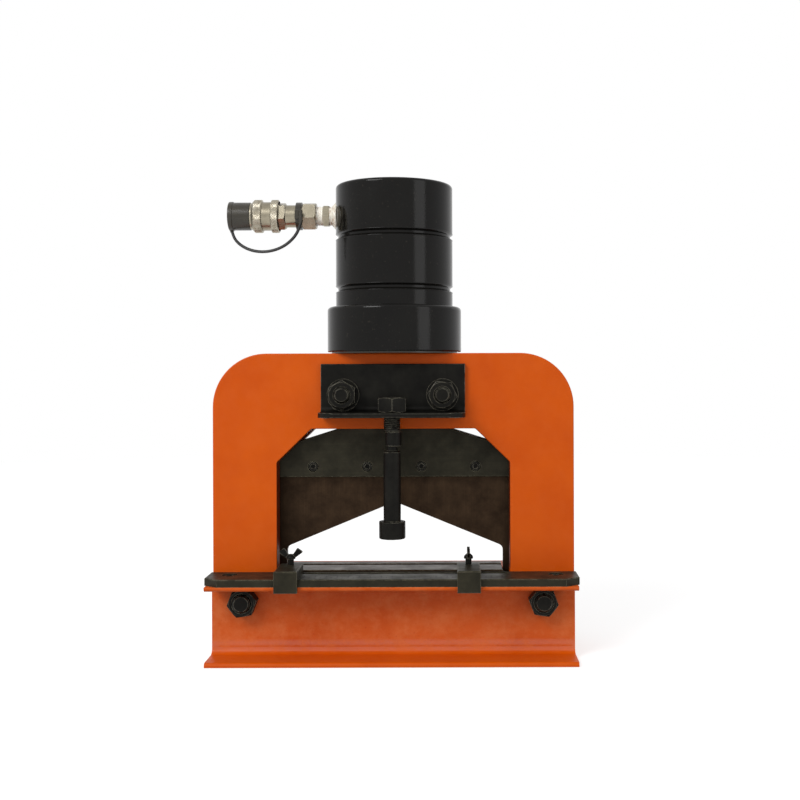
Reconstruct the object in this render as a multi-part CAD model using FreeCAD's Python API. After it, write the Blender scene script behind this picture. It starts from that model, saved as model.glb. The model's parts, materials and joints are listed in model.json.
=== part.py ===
import FreeCAD, Part
import math
import os

os.makedirs("parts", exist_ok=True)

# Hydraulic busbar cutter: a welded frame of two side plates stands on two channels, a single
# acting cylinder on its crown drives a double slope blade down between two lower blades.
# Millimetres, +X to the operator's right, +Y away from the operator, +Z up. z = 0 is the
# underside of the base. Lengths in Y are taken from the frame's mid plane, and every piece is
# moved by mid_plane_y when it is saved, so that the origin is the middle of the whole base.

# Fits and cuts
overrun = 1.0
running_clearance = 0.05
seat_clearance = 0.1
free_clearance = 0.5
bolt_hole_clearance = 1.0

# Frame
leg_width = 60.0
frame_top_z = 282.7
frame_corner_radius = 50.0
side_plate_thickness = 16.0
side_plate_gap = 30.0
throat_width = 217.0
throat_top_z = 212.2
throat_corner_width = 32.0
throat_corner_height = 31.0
throat_corner_rounding = 3.0
frame_foot_z = 2.0
frame_edge_rounding = 1.2
spacer_recess = 2.0
crown_block_rise = 15.0
leg_spacer_inset = 4.3

# Base channels
base_height = 72.0
channel_width = 40.0
channel_web = 5.0
channel_flange = 4.1
channel_root_radius = 6.0
channel_tip_radius = 3.0
base_bolt_drop = 18.7
base_bolt_diameter = 16.0
base_nut_flats = 24.0
base_nut_height = 14.8
base_head_height = 10.0
base_bolt_end = 3.2
base_nut_turn_deg = 9.0
spot_face_margin = 0.5

# Lower blades and their bed
lower_blade_end_gap = 6.5
lower_blade_rise = 1.7
rear_blade_land = 12.5
rear_blade_relief = 22.7
blade_edge_chamfer = 0.5
bed_bottom_z = 3.0
bed_thickness = 18.0
bed_screw_diameter = 10.0
bed_screw_head_diameter = 16.0
bed_screw_head_height = 10.0
bed_screw_x = 62.0
bed_screw_y = 17.0
bed_screw_grip = 20.0
bed_screw_head_room = 0.6

# Upper blade
blade_thickness = 6.0
cut_slot_clearance = 0.5
blade_tip_inset = 5.3
blade_leg_bottom_z = 70.0
blade_apex_z = 139.8
blade_slope_deg = 22.3
blade_apex_radius = 14.0
blade_leg_fillet = 6.0
blade_top_z = 199.0
blade_leg_tip_chamfer = 3.0
ram_stroke = 61.0

# Blade holder
holder_plate_thickness = 10.0
holder_overhang = 1.5
holder_bottom_z = 165.6
holder_shoulder_inset = 57.5
holder_shoulder_z = 212.1
holder_shoulder_slope_deg = 17.5
holder_neck_width = 34.0
holder_neck_top_z = 236.0
holder_edge_chamfer = 0.6
holder_screw_diameter = 6.0
holder_screw_head_diameter = 9.0
holder_screw_head_height = 6.0
holder_screw_spacing = 51.35
holder_screw_z = 175.6
holder_screw_recess = 0.5
holder_screw_grip = 8.0
ram_pin_diameter = 12.0
ram_pin_z = 225.0

# Scale plate on top of the front channel
scale_plate_overhang = 1.5
scale_plate_thickness = 7.0
scale_plate_corner_x = 13.0
scale_plate_corner_y = 10.0
scale_plate_chamfer = 0.6
scale_screw_inset = 20.0
scale_screw_depth = 15.0
scale_screw_diameter = 8.0
scale_screw_head_diameter = 13.0
scale_screw_head_height = 3.6
scale_screw_sink = 0.8
clamp_slot_depth = 8.0
clamp_slot_width = 6.4
clamp_slot_inset = 2.5
clamp_groove_width = 10.4
clamp_groove_height = 4.0

# Stop blocks, their clamp nuts and wing screws
stop_block_width = 20.9
stop_block_rise = 8.1
stop_block_drop = 11.6
stop_lip = 5.0
stop_rear_gap = 0.5
stop_slide_clearance = 0.15
stop_front_clearance = 0.3
stop_chamfer = 0.8
left_stop_inset = 13.8
right_stop_inset = 38.8
wing_screw_diameter = 5.7
wing_neck_show = 5.4
wing_hub_diameter = 8.5
wing_hub_height = 4.3
wing_span = 23.0
wing_rise = 15.6
wing_root_rise = 6.2
wing_thickness = 2.6
wing_blade_width = 5.4
wing_tip_rounding = 1.0
wing_slope_share = 0.7
clamp_nut_length = 12.0
clamp_nut_height = 3.4

# Hold-down bracket and its jack
bracket_length = 134.0
bracket_top_z = 272.8
bracket_bottom_z = 223.8
bracket_reach = 44.5
bracket_thickness = 4.5
bracket_root_radius = 5.0
bracket_corner_radius = 1.0
shelf_corner_radius = 16.0
bracket_bolt_x = 46.0
bracket_bolt_z = 244.0
bracket_bolt_diameter = 14.0
bracket_nut_flats = 24.0
bracket_nut_height = 14.8
bracket_head_height = 10.0
bracket_bolt_end = 3.2
bracket_washer_diameter = 30.0
bracket_washer_thickness = 3.0
left_bracket_nut_turn_deg = 30.0
right_bracket_nut_turn_deg = -6.0
hold_down_reach = 22.0
hold_down_thread_diameter = 14.4
hold_down_nut_flats = 25.0
hold_down_nut_height = 13.6
hold_down_nut_turn_deg = -87.0
hold_down_thread_bottom_z = 211.4
hold_down_thread_chamfer = 1.2
hold_down_stem_diameter = 10.0
hold_down_stem_bottom_z = 138.0
stop_collar_diameter = 14.8
stop_collar_bottom_z = 197.2
stop_collar_slack = 1.2
stop_collar_chamfer = 1.2
hold_down_sleeve_diameter = 15.8
hold_down_sleeve_top_z = 193.6
hold_down_sleeve_chamfer = 1.6
hold_down_bore_bottom_z = 133.0
hold_down_foot_top_z = 129.0
hold_down_foot_bottom_z = 113.2
hold_down_foot_diameter = 24.1
hold_down_foot_rounding = 1.2
hold_down_journal_diameter = 10.0
hold_down_journal_length = 10.0
hold_down_turn_gap = 0.1

# Cylinder
barrel_diameter = 111.7
barrel_bore = 75.0
barrel_top_z = 443.2
barrel_cap_thickness = 20.8
barrel_top_rounding = 3.0
barrel_groove_width = 6.0
barrel_groove_depth = 2.2
barrel_groove_bevel = 2.0
upper_groove_z = 393.8
lower_groove_z = 343.8
collar_diameter = 127.8
collar_top_z = 327.0
collar_bottom_z = 284.2
collar_floor = 18.0
collar_rounding = 3.6
barrel_screw_end_diameter = 96.0
mount_ring_diameter = 120.0
spigot_diameter = 44.0
spigot_bottom_z = 242.2
guide_bush_diameter = 38.0
guide_bush_length = 42.0
wiper_height = 8.0
wiper_lip = 0.6

# Ram
rod_diameter = 32.0
rod_end_z = 237.0
rod_tongue_bottom_z = 213.0
rod_tongue_width = 30.0
rod_stub_diameter = 20.0
rod_stub_length = 14.0
piston_bottom_z = 388.4
piston_height = 18.0
piston_boss_diameter = 40.0
piston_boss_height = 15.5
piston_web = 8.0
piston_screw_diameter = 10.0
piston_screw_head_diameter = 16.0
piston_screw_head_height = 10.0
piston_screw_grip = 10.0
seal_groove_width = 5.0
seal_groove_depth = 4.0
seal_groove_rise = 9.5
wear_groove_width = 4.0
wear_groove_depth = 2.0
wear_groove_rise = 2.5
return_spring_wire = 4.0
return_spring_diameter = 50.0
return_spring_turns = 5.0

# Port fittings and coupler, outward from the barrel's side
port_drop = 28.2
port_hole_diameter = 6.0
port_thread_diameter = 17.1
port_thread_depth = 10.0
port_boss_length = 3.0
port_boss_diameter = 26.2
port_boss_end_diameter = 19.2
inner_thread_show = 5.95
small_hex_length = 6.4
small_hex_flats = 19.0
small_hex_turn_deg = -93.6
outer_thread_show = 6.2
outer_thread_depth = 7.0
union_nut_length = 13.1
union_nut_flats = 24.0
union_nut_turn_deg = -102.0
tape_thickness = 0.4
lanyard_ring_gap = 0.85
lanyard_ring_width = 5.2
lanyard_ring_diameter = 26.4
coupler_barrel_diameter = 21.2
coupler_barrel_show = 9.9
coupler_hex_length = 7.6
coupler_hex_flats = 23.4
coupler_hex_turn_deg = -107.3
coupler_tube_diameter = 21.9
coupler_tube_length = 26.2
sleeve_stop_diameter = 25.4
sleeve_stop_width = 1.3
coupler_socket_diameter = 15.8
coupler_socket_depth = 17.0
coupler_seat_diameter = 8.0
coupler_seat_web = 3.0
coupler_passage_diameter = 12.0
coupler_neck_diameter = 17.1
lock_ball_diameter = 3.0
lock_ball_count = 6
lock_ball_rise = 5.7
sleeve_ball_turn_deg = 50.0
sleeve_ball_from_face = 3.0
sleeve_ball_mouth_diameter = 4.6
sleeve_diameter = 31.0
sleeve_waist_diameter = 27.2
sleeve_front_width = 9.8
sleeve_waist_width = 8.6
sleeve_rear_width = 7.2
sleeve_hex_lap = 0.9
sleeve_hex_room_diameter = 28.6
sleeve_spring_room_diameter = 24.6
sleeve_guide_length = 10.0
sleeve_chamfer = 2.2
sleeve_notch_width = 4.0
sleeve_notch_depth = 3.6
sleeve_notch_turn_deg = -43.0
sleeve_travel = 5.0
sleeve_spring_wire = 1.0
sleeve_spring_turns = 6.0
valve_head_length = 5.0
valve_stem_diameter = 4.0
valve_stem_length = 9.0
valve_nose_diameter = 6.0
valve_nose_length = 2.5
valve_spring_wire = 0.9
valve_spring_diameter = 7.4
valve_spring_turns = 5.0
valve_spring_length = 11.0
valve_seat_ring_width = 1.5

# Dust plug and its lanyard
plug_gap = 0.2
plug_body_diameter = 26.6
plug_body_length = 16.5
plug_flange_diameter = 28.0
plug_flange_width = 4.3
plug_nose_diameter = 15.4
plug_nose_length = 15.5
plug_rounding = 1.0
lanyard_diameter = 2.9
lanyard_lug_diameter = 3.6
lanyard_lug_depth = 4.0
lanyard_ring_lug_height = 13.0
lanyard_ring_pad_height = 9.0
tangent_share = 0.45

# Worked out from the sizes above
frame_depth = 2 * side_plate_thickness + side_plate_gap
frame_face_y = frame_depth / 2
front_reach = frame_face_y + channel_width + stop_lip
rear_reach = frame_face_y + channel_width
mid_plane_y = (front_reach - rear_reach) / 2
throat_x = throat_width / 2
frame_width = throat_width + 2 * leg_width
base_bolt_x = throat_x + leg_width / 2
base_bolt_z = base_height - base_bolt_drop
lower_blade_length = throat_width - 2 * lower_blade_end_gap
blade_tip_span = throat_width - 2 * blade_tip_inset
holder_length = throat_width + 2 * holder_overhang
holder_shoulder_x = throat_x - holder_shoulder_inset
scale_plate_length = frame_width + 2 * scale_plate_overhang
scale_screw_x = scale_plate_length / 2 - scale_screw_inset
clamp_slot_length = throat_width - 2 * clamp_slot_inset
left_stop_x = left_stop_inset - throat_x
right_stop_x = throat_x - right_stop_inset
crown_bottom_z = throat_top_z + crown_block_rise
leg_spacer_x = throat_x + leg_spacer_inset
blade_outer_x = leg_spacer_x - free_clearance
bed_top_z = bed_bottom_z + bed_thickness
slot_half = blade_thickness / 2 + cut_slot_clearance
holder_face_y = blade_thickness / 2 + holder_plate_thickness
scale_top_z = base_height + scale_plate_thickness
lower_blade_top_z = scale_top_z + lower_blade_rise
rear_blade_relief_z = lower_blade_top_z - rear_blade_relief
stop_block_top_z = scale_top_z + stop_block_rise
stop_block_bottom_z = scale_top_z - stop_block_drop
clamp_y = frame_face_y + clamp_slot_depth
hold_down_y = frame_face_y + hold_down_reach
scale_screw_y = frame_face_y + scale_screw_depth
collar_cavity_z = collar_bottom_z + collar_floor
barrel_cap_z = barrel_top_z - barrel_cap_thickness
head_bore_radius = spigot_diameter / 2 + seat_clearance
barrel_radius = barrel_diameter / 2
port_z = barrel_top_z - port_drop

# Distances outward from the cylinder's axis along the port
small_hex_at = barrel_radius + inner_thread_show
outer_thread_at = small_hex_at + small_hex_length
union_nut_at = outer_thread_at + outer_thread_show
coupler_at = union_nut_at + union_nut_length
lanyard_ring_at = coupler_at + lanyard_ring_gap
coupler_barrel_at = lanyard_ring_at + lanyard_ring_width
coupler_hex_at = coupler_barrel_at + coupler_barrel_show
coupler_tube_at = coupler_hex_at + coupler_hex_length
coupler_mouth_at = coupler_tube_at + coupler_tube_length
coupler_socket_at = coupler_mouth_at - coupler_socket_depth
coupler_seat_at = coupler_socket_at - coupler_seat_web
sleeve_at = coupler_tube_at - sleeve_hex_lap
sleeve_waist_at = sleeve_at + sleeve_rear_width
sleeve_front_at = sleeve_waist_at + sleeve_waist_width
sleeve_end_at = sleeve_front_at + sleeve_front_width
sleeve_step_at = sleeve_end_at - sleeve_guide_length
plug_at = coupler_mouth_at + plug_gap
plug_flange_at = plug_at + plug_body_length
plug_end_at = plug_flange_at + plug_flange_width

# Route of the lanyard, chosen by hand from the plug's lug to the ring's lug: X, Y and Z above the port
lanyard_route = [
    (-155.7, 0.0, -14.8),
    (-154.3, -0.2, -19.6),
    (-150.7, -0.8, -24.8),
    (-144.8, -1.8, -29.4),
    (-137.0, -3.2, -32.9),
    (-127.9, -5.0, -34.6),
    (-118.4, -7.2, -34.3),
    (-109.2, -9.6, -32.0),
    (-101.0, -12.0, -27.8),
    (-94.4, -14.2, -22.1),
    (-89.8, -15.7, -15.4),
    (-88.2, -16.2, -9.4),
]

# Lengths below this are no edge
touching = 0.001

Vector = FreeCAD.Vector
ORIGIN = Vector(0, 0, 0)
X_AXIS = Vector(1, 0, 0)
Y_AXIS = Vector(0, 1, 0)
Z_AXIS = Vector(0, 0, 1)


# Shapes used by more than one piece

def on_plane(plane, u, v):
    """A point of the named plane."""
    return {"xz": Vector(u, 0, v), "yz": Vector(0, u, v), "xy": Vector(u, v, 0)}[plane]


def outline(corners, plane):
    """A closed face: each corner is (u, v) or (u, v, radius) for a rounded one."""
    points = [on_plane(plane, c[0], c[1]) for c in corners]
    radii = [c[2] if len(c) > 2 else 0 for c in corners]
    stations = []
    for i, corner in enumerate(points):
        if radii[i] == 0:
            stations.append((corner, corner, corner))
            continue
        back = (points[i - 1] - corner).normalize()
        ahead = (points[(i + 1) % len(points)] - corner).normalize()
        half_turn = back.getAngle(ahead) / 2
        run = radii[i] / math.tan(half_turn)
        middle = (back + ahead).normalize()
        reach = radii[i] / math.sin(half_turn) - radii[i]
        stations.append((corner + back * run, corner + middle * reach, corner + ahead * run))
    edges = []
    for i, (start, middle, end) in enumerate(stations):
        if radii[i] > 0:
            edges.append(Part.Arc(start, middle, end).toShape())
        following = stations[(i + 1) % len(stations)][0]
        if (following - end).Length > touching:
            edges.append(Part.LineSegment(end, following).toShape())
    return Part.Face(Part.Wire(Part.__sortEdges__(edges)))


def slab(corners, plane, start, thickness):
    """An outline raised off its plane: from start, by thickness, along the plane's normal."""
    normal = {"xz": Y_AXIS, "yz": X_AXIS, "xy": Z_AXIS}[plane]
    face = outline(corners, plane)
    face.translate(normal * start)
    return face.extrude(normal * thickness)


def block(x0, x1, y0, y1, z0, z1):
    """A box between six planes."""
    return Part.makeBox(x1 - x0, y1 - y0, z1 - z0, Vector(x0, y0, z0))


def turned(corners):
    """A turned solid about Z: each corner is (radius, height) or has a rounding as well."""
    return outline(corners, "xz").revolve(ORIGIN, Z_AXIS, 360)


def rod(diameter, z0, z1):
    """A plain round bar about Z."""
    return Part.makeCylinder(diameter / 2, z1 - z0, Vector(0, 0, z0))


def ring(outer, inner, z0, z1):
    """A plain round ring about Z."""
    return rod(outer, z0, z1).cut(rod(inner, z0 - overrun, z1 + overrun))


def pointing(shape, direction, at=ORIGIN):
    """Turn a solid made along +Z to another row direction, then move its origin."""
    turned_shape = shape.copy()
    turns = {
        "+z": (X_AXIS, 0),
        "-z": (X_AXIS, 180),
        "-y": (X_AXIS, 90),
        "+y": (X_AXIS, -90),
        "-x": (Y_AXIS, -90),
    }
    axis, angle = turns[direction]
    turned_shape.rotate(ORIGIN, axis, angle)
    turned_shape.translate(at)
    return turned_shape


def hexagon(flats, z0, z1, turn_deg=0.0, chamfer_low=True, chamfer_high=True):
    """A hexagonal prism with the usual turned corners. turn_deg turns its first corner."""
    corner_radius = flats / math.sqrt(3)
    corners = []
    for i in range(6):
        angle = math.radians(turn_deg + 60 * i)
        corners.append((corner_radius * math.cos(angle), corner_radius * math.sin(angle)))
    prism = slab(corners, "xy", z0, z1 - z0)
    land = flats / 2 * 0.97
    drop = (corner_radius - land) * math.tan(math.radians(30))
    envelope = [(0, z0)]
    envelope += [(land, z0), (corner_radius, z0 + drop)] if chamfer_low else [(corner_radius, z0)]
    envelope += [(corner_radius, z1 - drop), (land, z1)] if chamfer_high else [(corner_radius, z1)]
    envelope += [(0, z1)]
    return prism.common(turned(envelope))


def socket_screw(diameter, head_diameter, head_height, grip):
    """A socket cap screw about Z: head above z = 0, shank below."""
    edge = head_diameter / 20
    profile = [
        (0, -grip),
        (diameter / 2 - edge, -grip),
        (diameter / 2, edge - grip),
        (diameter / 2, 0),
        (head_diameter / 2, 0),
        (head_diameter / 2, head_height, edge),
        (0, head_height),
    ]
    screw = turned(profile)
    socket_depth = head_height / 2
    socket = hexagon(head_diameter / 2, head_height - socket_depth, head_height + overrun, 0, False, False)
    return screw.cut(socket)


def through_bolt(diameter, head_flats, head_height, grip, head_turn_deg=0.0):
    """A hexagon bolt about Z: its head under z = 0, its plain end at z = grip."""
    edge = diameter / 12
    profile = [
        (0, -head_height / 2),
        (diameter / 2, -head_height / 2),
        (diameter / 2, grip - edge),
        (diameter / 2 - edge, grip),
        (0, grip),
    ]
    head = hexagon(head_flats, -head_height, 0, head_turn_deg, True, False)
    return turned(profile).fuse(head).removeSplitter()


def nut(flats, height, bore, turn_deg):
    """A hexagon nut about Z, standing on z = 0, with a chamfered mouth."""
    body = hexagon(flats, 0, height, turn_deg)
    mouth = bore / 16
    profile = [
        (0, -overrun),
        (bore / 2 + mouth, -overrun),
        (bore / 2 + mouth, 0),
        (bore / 2, mouth),
        (bore / 2, height - mouth),
        (bore / 2 + mouth, height),
        (bore / 2 + mouth, height + overrun),
        (0, height + overrun),
    ]
    return body.cut(turned(profile))


def softened(shape, size, keep):
    """Chamfer the edges of a solid that keep() picks."""
    picked = [edge for edge in shape.Edges if keep(edge)]
    return shape.makeChamfer(size, picked)


def rounded_edges(shape, radius, keep):
    """Round the edges of a solid that keep() picks."""
    picked = [edge for edge in shape.Edges if keep(edge)]
    return shape.makeFillet(radius, picked)


def lies_at_y(y):
    """Picks the edges that lie wholly in the plane at y."""
    return lambda edge: all(abs(v.Point.y - y) < seat_clearance for v in edge.Vertexes)


def lies_at_z(z):
    """Picks the edges that lie wholly in the plane at z."""
    return lambda edge: all(abs(v.Point.z - z) < seat_clearance for v in edge.Vertexes)


def biarc(start, start_way, end, end_way):
    """Two tangent arcs between two points with given directions."""
    chord = end - start
    both = start_way + end_way
    a = 2 * start_way.dot(end_way) - 2
    b = -2 * chord.dot(both)
    c = chord.dot(chord)
    reach = (-b - math.sqrt(b * b - 4 * a * c)) / (2 * a)
    first_apex = start + start_way * reach
    last_apex = end - end_way * reach
    joint = (first_apex + last_apex) / 2
    arcs = []
    for a0, apex, a1 in ((start, first_apex, joint), (joint, last_apex, end)):
        middle = (a0 + a1) / 2
        cosine = (a1 - a0).Length / 2 / reach
        top = middle + (apex - middle) * (cosine / (1 + cosine))
        arcs.append(Part.Arc(a0, top, a1).toShape())
    return arcs


def coil(mean_diameter, wire, turns, height, label):
    """A helical spring about Z, whose wire lies between z = 0 and z = height."""
    radius = mean_diameter / 2
    rise = height - wire
    quarter_turns = int(round(turns * 4))
    pitch = rise / turns
    lean = pitch / (2 * math.pi)

    def place(quarter):
        angle = quarter * math.pi / 2
        point = Vector(radius * math.cos(angle), radius * math.sin(angle), lean * angle + wire / 2)
        way = Vector(-radius * math.sin(angle), radius * math.cos(angle), lean).normalize()
        return point, way

    edges = []
    for quarter in range(quarter_turns):
        point, way = place(quarter)
        next_point, next_way = place(quarter + 1)
        edges += biarc(point, way, next_point, next_way)
    start, way = place(0)
    section = Part.Wire(Part.Circle(start, way, wire / 2).toShape())
    tube = Part.Wire(edges).makePipeShell([section], True, False)
    length = turns * math.hypot(2 * math.pi * radius, pitch)
    share = tube.Volume / (math.pi * wire * wire / 4 * length)
    print(label, "turns", turns, "least gap", round(pitch - wire, 3), "volume share", round(share, 4))
    return tube


# Frame

def side_plate(near_y):
    """One welded side plate: an inverted U with two bolt holes in each leg and crown."""
    half = frame_width / 2
    corner_x = throat_x - throat_corner_width
    corner_z = throat_top_z - throat_corner_height
    plate = slab([
        (-half, frame_foot_z),
        (-half, frame_top_z, frame_corner_radius),
        (half, frame_top_z, frame_corner_radius),
        (half, frame_foot_z),
        (throat_x, frame_foot_z),
        (throat_x, corner_z, throat_corner_rounding),
        (corner_x, throat_top_z, throat_corner_rounding),
        (-corner_x, throat_top_z, throat_corner_rounding),
        (-throat_x, corner_z, throat_corner_rounding),
        (-throat_x, frame_foot_z),
    ], "xz", near_y, side_plate_thickness)
    outer_y = near_y if near_y < 0 else near_y + side_plate_thickness
    plate = rounded_edges(plate, frame_edge_rounding, lies_at_y(outer_y))
    plate = plate.cut(Part.makeCylinder(head_bore_radius, frame_top_z, Vector(0, 0, throat_top_z - overrun)))
    return plate.cut(bolt_holes())


def bolt_holes():
    """The four holes that run through the whole frame along Y."""
    reach = frame_depth + 2 * overrun
    start_y = frame_face_y + overrun
    holes = []
    for side in (-1, 1):
        for x, z, size in (
            (base_bolt_x, base_bolt_z, base_bolt_diameter),
            (bracket_bolt_x, bracket_bolt_z, bracket_bolt_diameter),
        ):
            hole = rod(size + bolt_hole_clearance, 0, reach)
            holes.append(pointing(hole, "+y", Vector(side * x, -start_y, z)))
    return Part.makeCompound(holes)


def leg_spacer(side):
    """The bar welded between the side plates in one leg, set back from their edge."""
    outer = frame_width / 2 - spacer_recess
    near, far = sorted((side * leg_spacer_x, side * outer))
    bar = block(near, far, -side_plate_gap / 2, side_plate_gap / 2, frame_foot_z, crown_bottom_z)
    return bar.cut(bolt_holes())


def crown_block(side):
    """The block welded between the side plates above the throat, bored for the spigot."""
    outer = frame_width / 2 - spacer_recess
    top = frame_top_z - spacer_recess
    corner = frame_corner_radius - spacer_recess
    inner = holder_neck_width / 4
    shape = slab([
        (side * inner, crown_bottom_z),
        (side * inner, top),
        (side * outer, top, corner),
        (side * outer, crown_bottom_z),
    ], "xz", -side_plate_gap / 2, side_plate_gap)
    bore = rod(2 * head_bore_radius, crown_bottom_z - overrun, frame_top_z)
    return shape.cut(bore).cut(bolt_holes())


# Base

def base_channel(side):
    """A rolled channel, its web against a side plate and its flanges outward."""
    web_y = frame_face_y
    tip_y = frame_face_y + channel_width
    inner_y = web_y + channel_web
    shape = slab([
        (side * web_y, 0),
        (side * tip_y, 0),
        (side * tip_y, channel_flange, channel_tip_radius),
        (side * inner_y, channel_flange, channel_root_radius),
        (side * inner_y, base_height - channel_flange, channel_root_radius),
        (side * tip_y, base_height - channel_flange, channel_tip_radius),
        (side * tip_y, base_height),
        (side * web_y, base_height),
    ], "yz", -frame_width / 2, frame_width)
    hole = rod(base_bolt_diameter + bolt_hole_clearance, 0, 2 * channel_web)
    spot_face = rod(2 * (base_nut_flats / math.sqrt(3) + spot_face_margin), 0, channel_root_radius)
    for x in (-base_bolt_x, base_bolt_x):
        start_y = side * (web_y + channel_web / 2) - channel_web
        shape = shape.cut(pointing(hole, "+y", Vector(x, start_y, base_bolt_z)))
        seat = Vector(x, side * inner_y, base_bolt_z)
        shape = shape.cut(pointing(spot_face, "+y" if side > 0 else "-y", seat))
    if side < 0:
        tapping = rod(scale_screw_diameter + 2 * running_clearance, 0, 2 * channel_flange)
        for x in (-scale_screw_x, scale_screw_x):
            below = base_height - channel_flange - overrun
            shape = shape.cut(pointing(tapping, "+z", Vector(x, -scale_screw_y, below)))
    return shape


def base_bolts():
    """Two long bolts that clamp the channels to the legs, heads at the rear."""
    grip = frame_depth + 2 * channel_web + base_nut_height + base_bolt_end
    rear_y = frame_face_y + channel_web
    bolts = []
    for side in (-1, 1):
        turn = side * base_nut_turn_deg
        bolt = through_bolt(base_bolt_diameter, base_nut_flats, base_head_height, grip, turn)
        bolts.append(pointing(bolt, "-y", Vector(side * base_bolt_x, rear_y, base_bolt_z)))
    return Part.makeCompound(bolts)


def blade_bed():
    """The bar between the two webs that carries the lower blades."""
    half = lower_blade_length / 2
    bed = block(-half, half, -frame_face_y, frame_face_y, bed_bottom_z, bed_top_z)
    return bed.cut(bed_screw_room())


def bed_screw_places():
    """Where the four bed screws stand."""
    return [Vector(sx * bed_screw_x, sy * bed_screw_y, 0) for sx in (-1, 1) for sy in (-1, 1)]


def bed_screw_room():
    """Holes for the bed screws, through the bed and into the lower blades."""
    head_room = bed_bottom_z + bed_screw_head_height + bed_screw_head_room
    hole = rod(bed_screw_diameter + 2 * running_clearance, 0, bed_top_z + bed_screw_grip + overrun)
    hole = hole.fuse(rod(bed_screw_head_diameter + bolt_hole_clearance, 0, head_room))
    return Part.makeCompound([pointing(hole, "+z", place) for place in bed_screw_places()])


def lower_blade(side):
    """A lower blade: the front one is a plain bar, the rear one is relieved behind its land."""
    half = lower_blade_length / 2
    inner = side * slot_half
    outer = side * frame_face_y
    if side < 0:
        corners = [
            (inner, bed_top_z),
            (outer, bed_top_z),
            (outer, lower_blade_top_z),
            (inner, lower_blade_top_z),
        ]
    else:
        land = inner + side * rear_blade_land
        corners = [
            (inner, bed_top_z),
            (outer, bed_top_z),
            (outer, rear_blade_relief_z),
            (land, rear_blade_relief_z),
            (land, lower_blade_top_z),
            (inner, lower_blade_top_z),
        ]
    bar = slab(corners, "yz", -half, lower_blade_length)
    bar = softened(bar, blade_edge_chamfer, lies_at_z(lower_blade_top_z))
    return bar.cut(bed_screw_room())


def lower_blade_screws():
    """Four cap screws up through the bed into the lower blades."""
    seat = bed_bottom_z + bed_screw_head_height + bed_screw_head_room
    grip = bed_top_z - seat + bed_screw_grip
    screw = socket_screw(bed_screw_diameter, bed_screw_head_diameter, bed_screw_head_height, grip)
    return Part.makeCompound([pointing(screw, "-z", place + Z_AXIS * seat) for place in bed_screw_places()])


# Scale plate and stops

def scale_plate():
    """The graduated plate on the front channel, with a tee slot for the stops."""
    half = scale_plate_length / 2
    rear = -frame_face_y
    front = -frame_face_y - channel_width
    plate = slab([
        (-half, rear),
        (half, rear),
        (half, front + scale_plate_corner_y),
        (half - scale_plate_corner_x, front),
        (scale_plate_corner_x - half, front),
        (-half, front + scale_plate_corner_y),
    ], "xy", base_height, scale_plate_thickness)
    plate = softened(plate, scale_plate_chamfer, lies_at_z(scale_top_z))
    slot = clamp_slot_length / 2
    for width, low, high in (
        (clamp_slot_width, base_height, scale_top_z + overrun),
        (clamp_groove_width, base_height - overrun, base_height + clamp_groove_height),
    ):
        plate = plate.cut(block(-slot, slot, -clamp_y - width / 2, width / 2 - clamp_y, low, high))
    seat = scale_top_z - scale_screw_sink - scale_screw_head_height
    hole = rod(scale_screw_diameter + 2 * running_clearance, base_height - overrun, scale_top_z)
    hole = hole.fuse(rod(scale_screw_head_diameter + bolt_hole_clearance, seat, scale_top_z + overrun))
    for x in (-scale_screw_x, scale_screw_x):
        plate = plate.cut(pointing(hole, "+z", Vector(x, -scale_screw_y, 0)))
    return plate


def scale_plate_screws():
    """Two low head screws that hold the scale plate to the channel's flange."""
    seat = scale_top_z - scale_screw_sink - scale_screw_head_height
    grip = seat - base_height + channel_flange
    screw = socket_screw(scale_screw_diameter, scale_screw_head_diameter, scale_screw_head_height, grip)
    places = [Vector(side * scale_screw_x, -scale_screw_y, seat) for side in (-1, 1)]
    return Part.makeCompound([pointing(screw, "+z", place) for place in places])


def stop_block(x):
    """A stop that sits on the scale plate and hooks over its front edge."""
    front = -frame_face_y - channel_width - stop_lip
    lip = -frame_face_y - channel_width - stop_front_clearance
    rear = -frame_face_y - stop_rear_gap
    under = scale_top_z + stop_slide_clearance
    shape = slab([
        (rear, under),
        (rear, stop_block_top_z),
        (front, stop_block_top_z),
        (front, stop_block_bottom_z),
        (lip, stop_block_bottom_z),
        (lip, under),
    ], "yz", x - stop_block_width / 2, stop_block_width)
    shape = softened(shape, stop_chamfer, lies_at_z(stop_block_top_z))
    hole = rod(wing_screw_diameter + 2 * running_clearance, scale_top_z, stop_block_top_z + overrun)
    return shape.cut(pointing(hole, "+z", Vector(x, -clamp_y, 0)))


def clamp_nut(x):
    """The tee nut that rests in the plate's groove under a stop."""
    low = base_height + seat_clearance
    width = clamp_groove_width - 2 * stop_front_clearance
    half = clamp_nut_length / 2
    piece = block(x - half, x + half, -clamp_y - width / 2, width / 2 - clamp_y, low, low + clamp_nut_height)
    hole = rod(wing_screw_diameter + 2 * running_clearance, base_height, scale_top_z)
    return piece.cut(pointing(hole, "+z", Vector(x, -clamp_y, 0)))


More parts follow.
